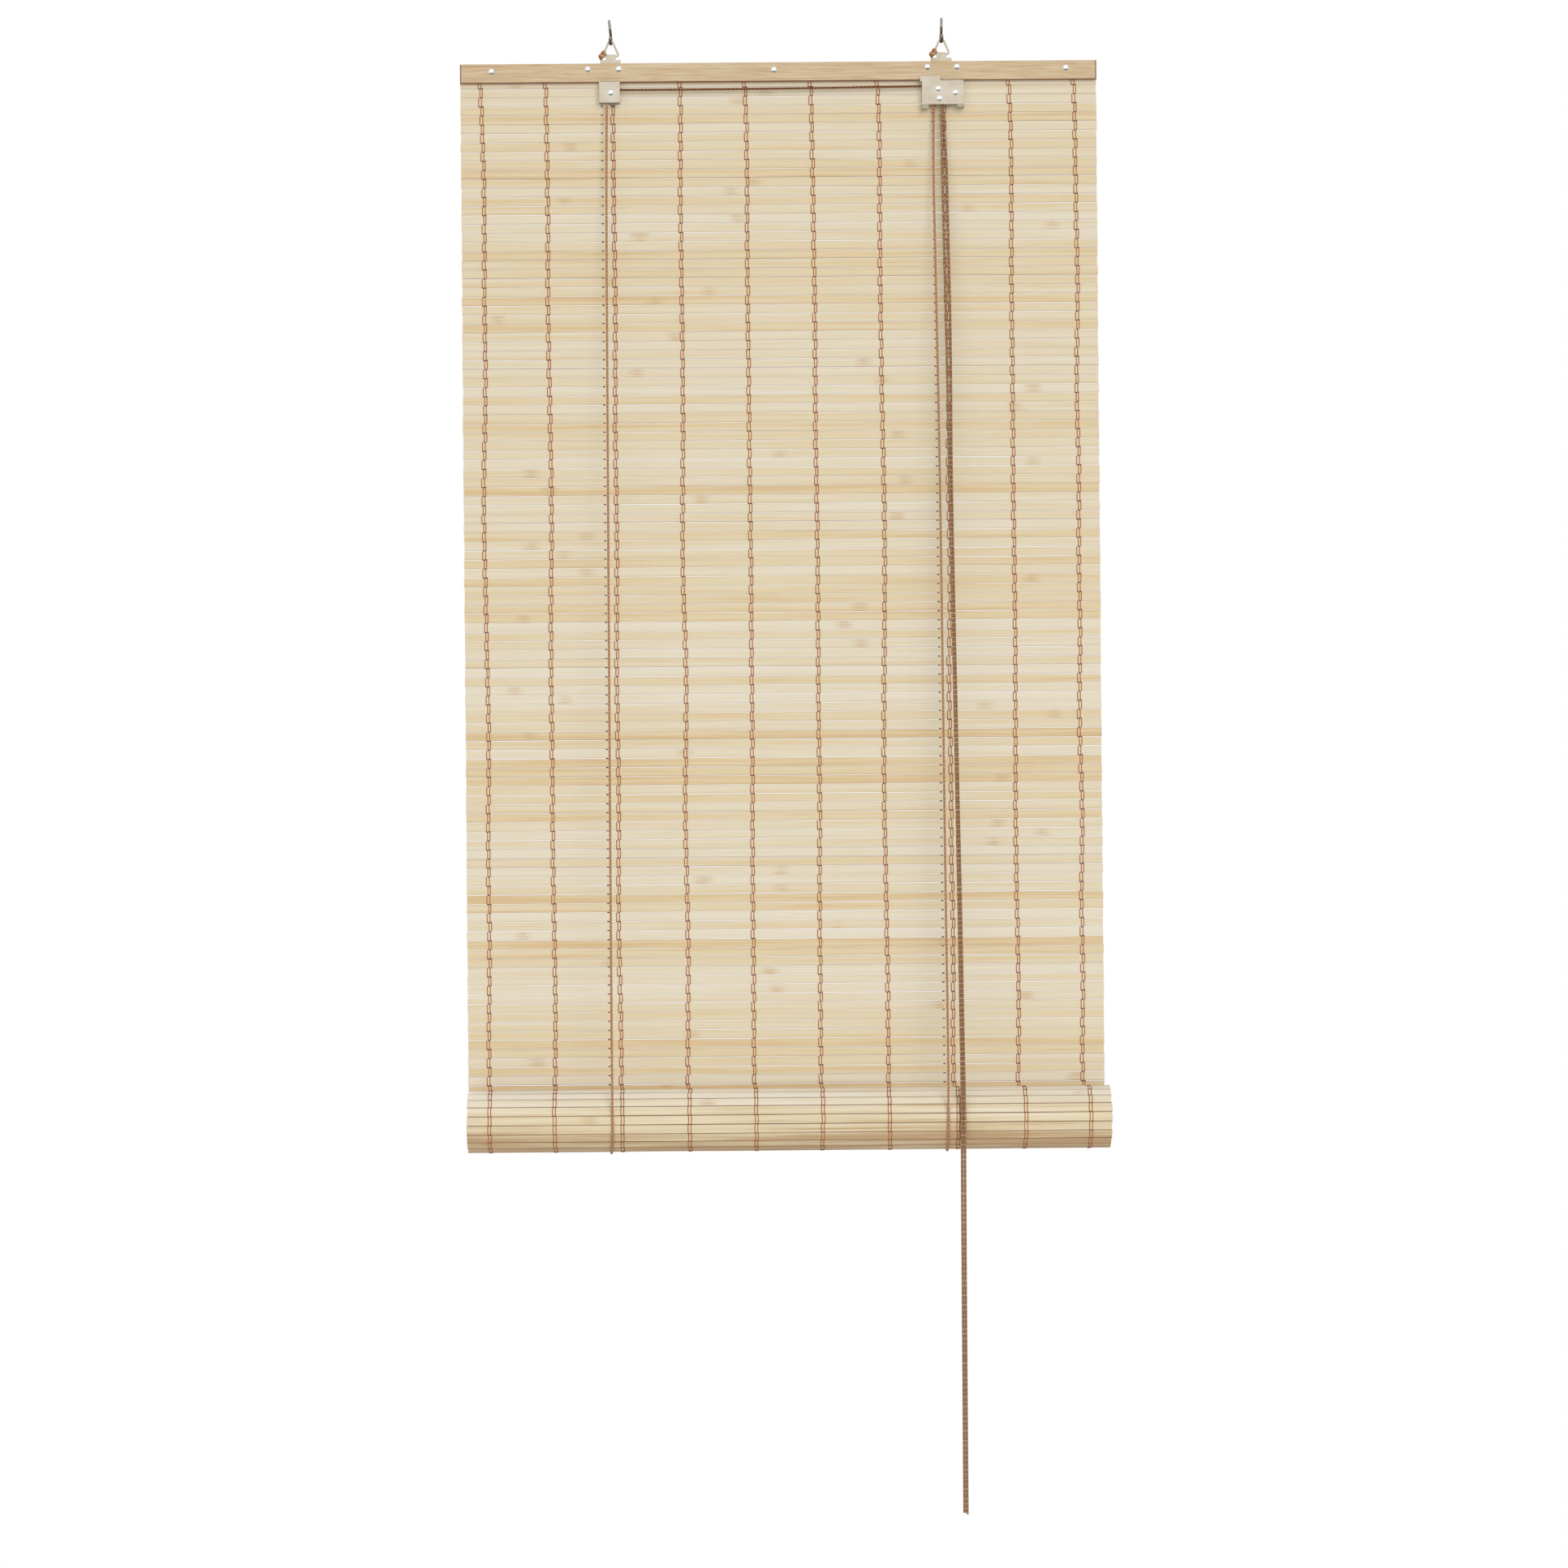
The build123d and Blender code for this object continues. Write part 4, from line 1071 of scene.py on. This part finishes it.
def makeLiftCord(c, side):
    tie, rear = tieAndRear(c, side)
    front, bight = frontAndBight(c, side)
    for name, node, path, body, braid, top in (
        ("tie", "tie_", tie, "headrail", liftBraid, None),
        ("rearRun", "rear_run_", rear, "headrail", shadedBraid, c["tieEnd"]),
        ("frontRun", "front_run_", front, "headrail", liftBraid, c["runStart"]),
        ("sling", "sling_", bight, "slings", liftBraid, None),
    ):
        piece, _, _ = makeCord(name + side.capitalize(), path, c["radius"], body, node + side, braid)
        if top:
            shorten(piece)


for side in ("left", "right"):
    makeLiftCord(liftCords, side)

lockCords = {
    "pulleyRadius": 0.0048,
    "leftAxle": (-0.20815, -0.0775),
    "lockPulley": (0.20335, -0.0751),
    "strandDepths": (-0.0085, -0.0049),
    "start": liftCords["runStart"],
    "end": pullCords["lockMouth"],
    "sag": 0.0006,
    "slack": 0.0014,
    "slackReach": 0.012,
    "steps": 160,
    "spacing": 0.0005,
}


def lockCordPaths(c):
    # cords over the pulleys; between them a straight line less a sine of sag and a rounded slack
    radius = c["pulleyRadius"]
    (leftX, leftZ), (lockX, lockZ) = c["leftAxle"], c["lockPulley"]
    front, rear = c["strandDepths"]
    over = np.linspace(0, 1, c["steps"])
    near = np.minimum(over, 1 - over) * (lockX - leftX)
    slack = c["slack"] * (1 - np.exp(-((near / c["slackReach"]) ** 2)))
    level = (leftZ + radius) + (lockZ - leftZ) * over - c["sag"] * np.sin(np.pi * over) - slack
    span = joined(leftX + (lockX - leftX) * over, front, level)
    cross = [
        [(leftX - radius, front, c["start"])],
        arcPath((leftX, front, leftZ), radius, 180, -90, (0, 2)),
        span[1:-1],
        arcPath((lockX, front, lockZ), radius, 90, -90, (0, 2)),
        [(lockX + radius, front, c["end"])],
    ]
    lock = [
        [(lockX - radius, rear, c["start"])],
        arcPath((lockX, rear, lockZ), radius, 180, -180, (0, 2)),
        [(lockX + radius, rear, c["end"])],
    ]
    return np.concatenate(cross), np.concatenate(lock)


crossPath, lockPath = lockCordPaths(lockCords)
cordRadius = liftCords["radius"]
makeCord("crossCord", crossPath, cordRadius, "headrail", "cross_cord", shadedBraid, yAxis)
makeCord("lockCord", lockPath, cordRadius, "headrail", "lock_cord", liftBraid, yAxis, lockCords["spacing"])
print("cords done")

# Screw hooks, bent from one wire, with a rolled thread above the ceiling

hooks = {
    "wire": 0.0017,
    "sides": 20,
    "spacing": 0.00022,
    "tip": 0.0155,
    "tipLength": 0.0009,
    "tipShares": (0.62, 0.38),  # girth at the very tip, and what the length adds
    "threadEnd": 0.0045,
    "threadFade": 0.002,
    "threadPitch": 0.0012,
    "threadHeight": 0.00014,
    "neckBend": 0.003,
    "bowl": 0.0052,
    "bowlDrop": 0.0146,
    "lipBend": 0.006,
    "lipAngle": 35,
    "twist": {"left": -6, "right": 7},
    "lean": {"left": -0.0019, "right": 0.0003},
    "leanStart": -0.002,
}


def makeHook(h, x, side):
    # wire round three bends: path plus a circle times its size, with a cosine helix for the thread
    wire, bowl, neckBend, tip = h["wire"], h["bowl"], h["neckBend"], h["tip"]
    centre = bowl - h["bowlDrop"]
    rise = math.sqrt((bowl + neckBend) ** 2 - neckBend**2)
    neckAngle = math.degrees(math.atan2(rise, neckBend))
    bends = [
        [(x, 0, tip)],
        arcPath((x, neckBend, centre + rise), neckBend, 180, neckAngle),
        arcPath((x, 0, centre), bowl, neckAngle, -180 - neckAngle, steps=60)[1:],
        arcPath((x, -bowl - h["lipBend"], centre), h["lipBend"], 0, h["lipAngle"])[1:],
    ]
    path, marks = evenly(np.concatenate(bends), h["spacing"])
    twist = math.radians(h["twist"][side])
    away = path[:, 1].copy()
    above = np.clip((path[:, 2] - h["leanStart"]) / (tip - h["leanStart"]), 0, 1)
    path[:, 0] = x - away * math.sin(twist) + above * h["lean"][side]
    path[:, 1] = away * math.cos(twist)
    batch = cordTube(path, marks, wire, h["sides"])
    start, growth = h["tipShares"]
    fadeIn = np.clip(start + growth * marks / h["tipLength"], 0, 1)
    threaded = np.clip((tip - h["threadEnd"] - marks) / h["threadFade"], 0, 1)
    turn = np.arange(h["sides"]) / h["sides"]
    groove = 0.5 + 0.5 * np.cos(2 * np.pi * (marks[:, None] / h["threadPitch"] - turn))
    size = fadeIn[:, None] * (1 - threaded[:, None] * groove**2 * h["threadHeight"] / wire)
    toEnd = np.clip((marks - marks[-1] + wire) / wire, 0, 0.995)  # the lip ends in a half ball
    size = size * np.sqrt(np.clip(1 - toEnd**2, 0, 1))[:, None]
    line = path[None, :, None, :]
    batch["points"] = line + (batch["points"] - line) * size[None, :, :, None]
    ringMesh("screwHook" + side.capitalize(), [batch], zincWire, "hooks", ["hook_" + side])


for side, x in liftCords["hangers"].items():
    makeHook(hooks, x, side)
print("hooks done")

# Knots: the end of the lift cord rises behind the ring, winds round its leg and is tucked under

knots = {
    "cordRadius": 0.0014,
    "sides": 12,
    "spacing": 0.0004,
    "beside": (0.3, 0.7, 0.2),
    "start": (-0.0118, 0.003, -0.0331),
    "rise": (-0.0136, 0.0026, -0.0318),
    "coils": (  # opening is the angle at which a coil begins
        {"centre": (-0.0126, 0, -0.0303), "radius": 0.0021, "turns": 1.3, "advance": 0.0014, "opening": 0.9},
        {"centre": (-0.0078, 0, -0.0262), "radius": 0.003, "turns": 1.25, "advance": 0.0018, "opening": 1.6},
    ),
    "coilPoints": 12,
    "tuck": ((-0.0085, -0.0028, -0.0286), (-0.0098, -0.0022, -0.0312), (-0.0106, -0.0012, -0.0322)),
    "lean": 45,
}


def makeKnot(k, hangerX, side):
    # two coils round one leaning axis: centre plus radius times cosine and sine across it, moving along it
    lean = math.radians(k["lean"])
    axis = np.array([math.sin(lean), 0, math.cos(lean)])
    cross = np.cross(axis, yAxis)
    route = [k["start"], k["rise"]]
    for coil in k["coils"]:
        turn = np.linspace(0, 1, k["coilPoints"])[:, None]
        spin = coil["opening"] + 2 * np.pi * coil["turns"] * turn
        spots = np.array(coil["centre"]) + axis * ((turn - 0.5) * coil["advance"])
        spots = spots + yAxis * (coil["radius"] * np.cos(spin)) + cross * (coil["radius"] * np.sin(spin))
        route += list(spots)
    route += k["tuck"]
    path = routeSpline("knot", [(hangerX + x, y, z) for x, y, z in route])
    path, marks = evenly(path, k["spacing"])
    tube = cordTube(path, marks, k["cordRadius"], k["sides"], np.array(k["beside"]), cordShape["bulge"])
    title, smooth = side.capitalize(), cordShape["smoothAngle"]
    ringMesh("cordKnot" + title, [tube], liftBraid, "rings", ["knot_" + side], smooth)


for side, x in liftCords["hangers"].items():
    makeKnot(knots, x, side)
print("knots done")

# Finishes on the solids that show as they are

finishes = {
    "creamEnamel": ("ring_left", "ring_right", "bracket_left", "bracket_right"),
    "beigeEnamelLeft": ("cover_left",),
    "beigeEnamelRight": ("cover_right",),
    "planedBamboo": ("rail_front", "rail_back", "bottom_batten"),
    "brightRivet": ("rail_rivets", "axle_rivets"),
    "pulleyNylon": ("pulley_left", "pulley_right"),
    "camSteel": ("lock_cam",),
}
for coat, names in finishes.items():
    for name in names:
        nodes[name].data.materials.clear()
        nodes[name].data.materials.append(coats[coat])
print("finishes set")
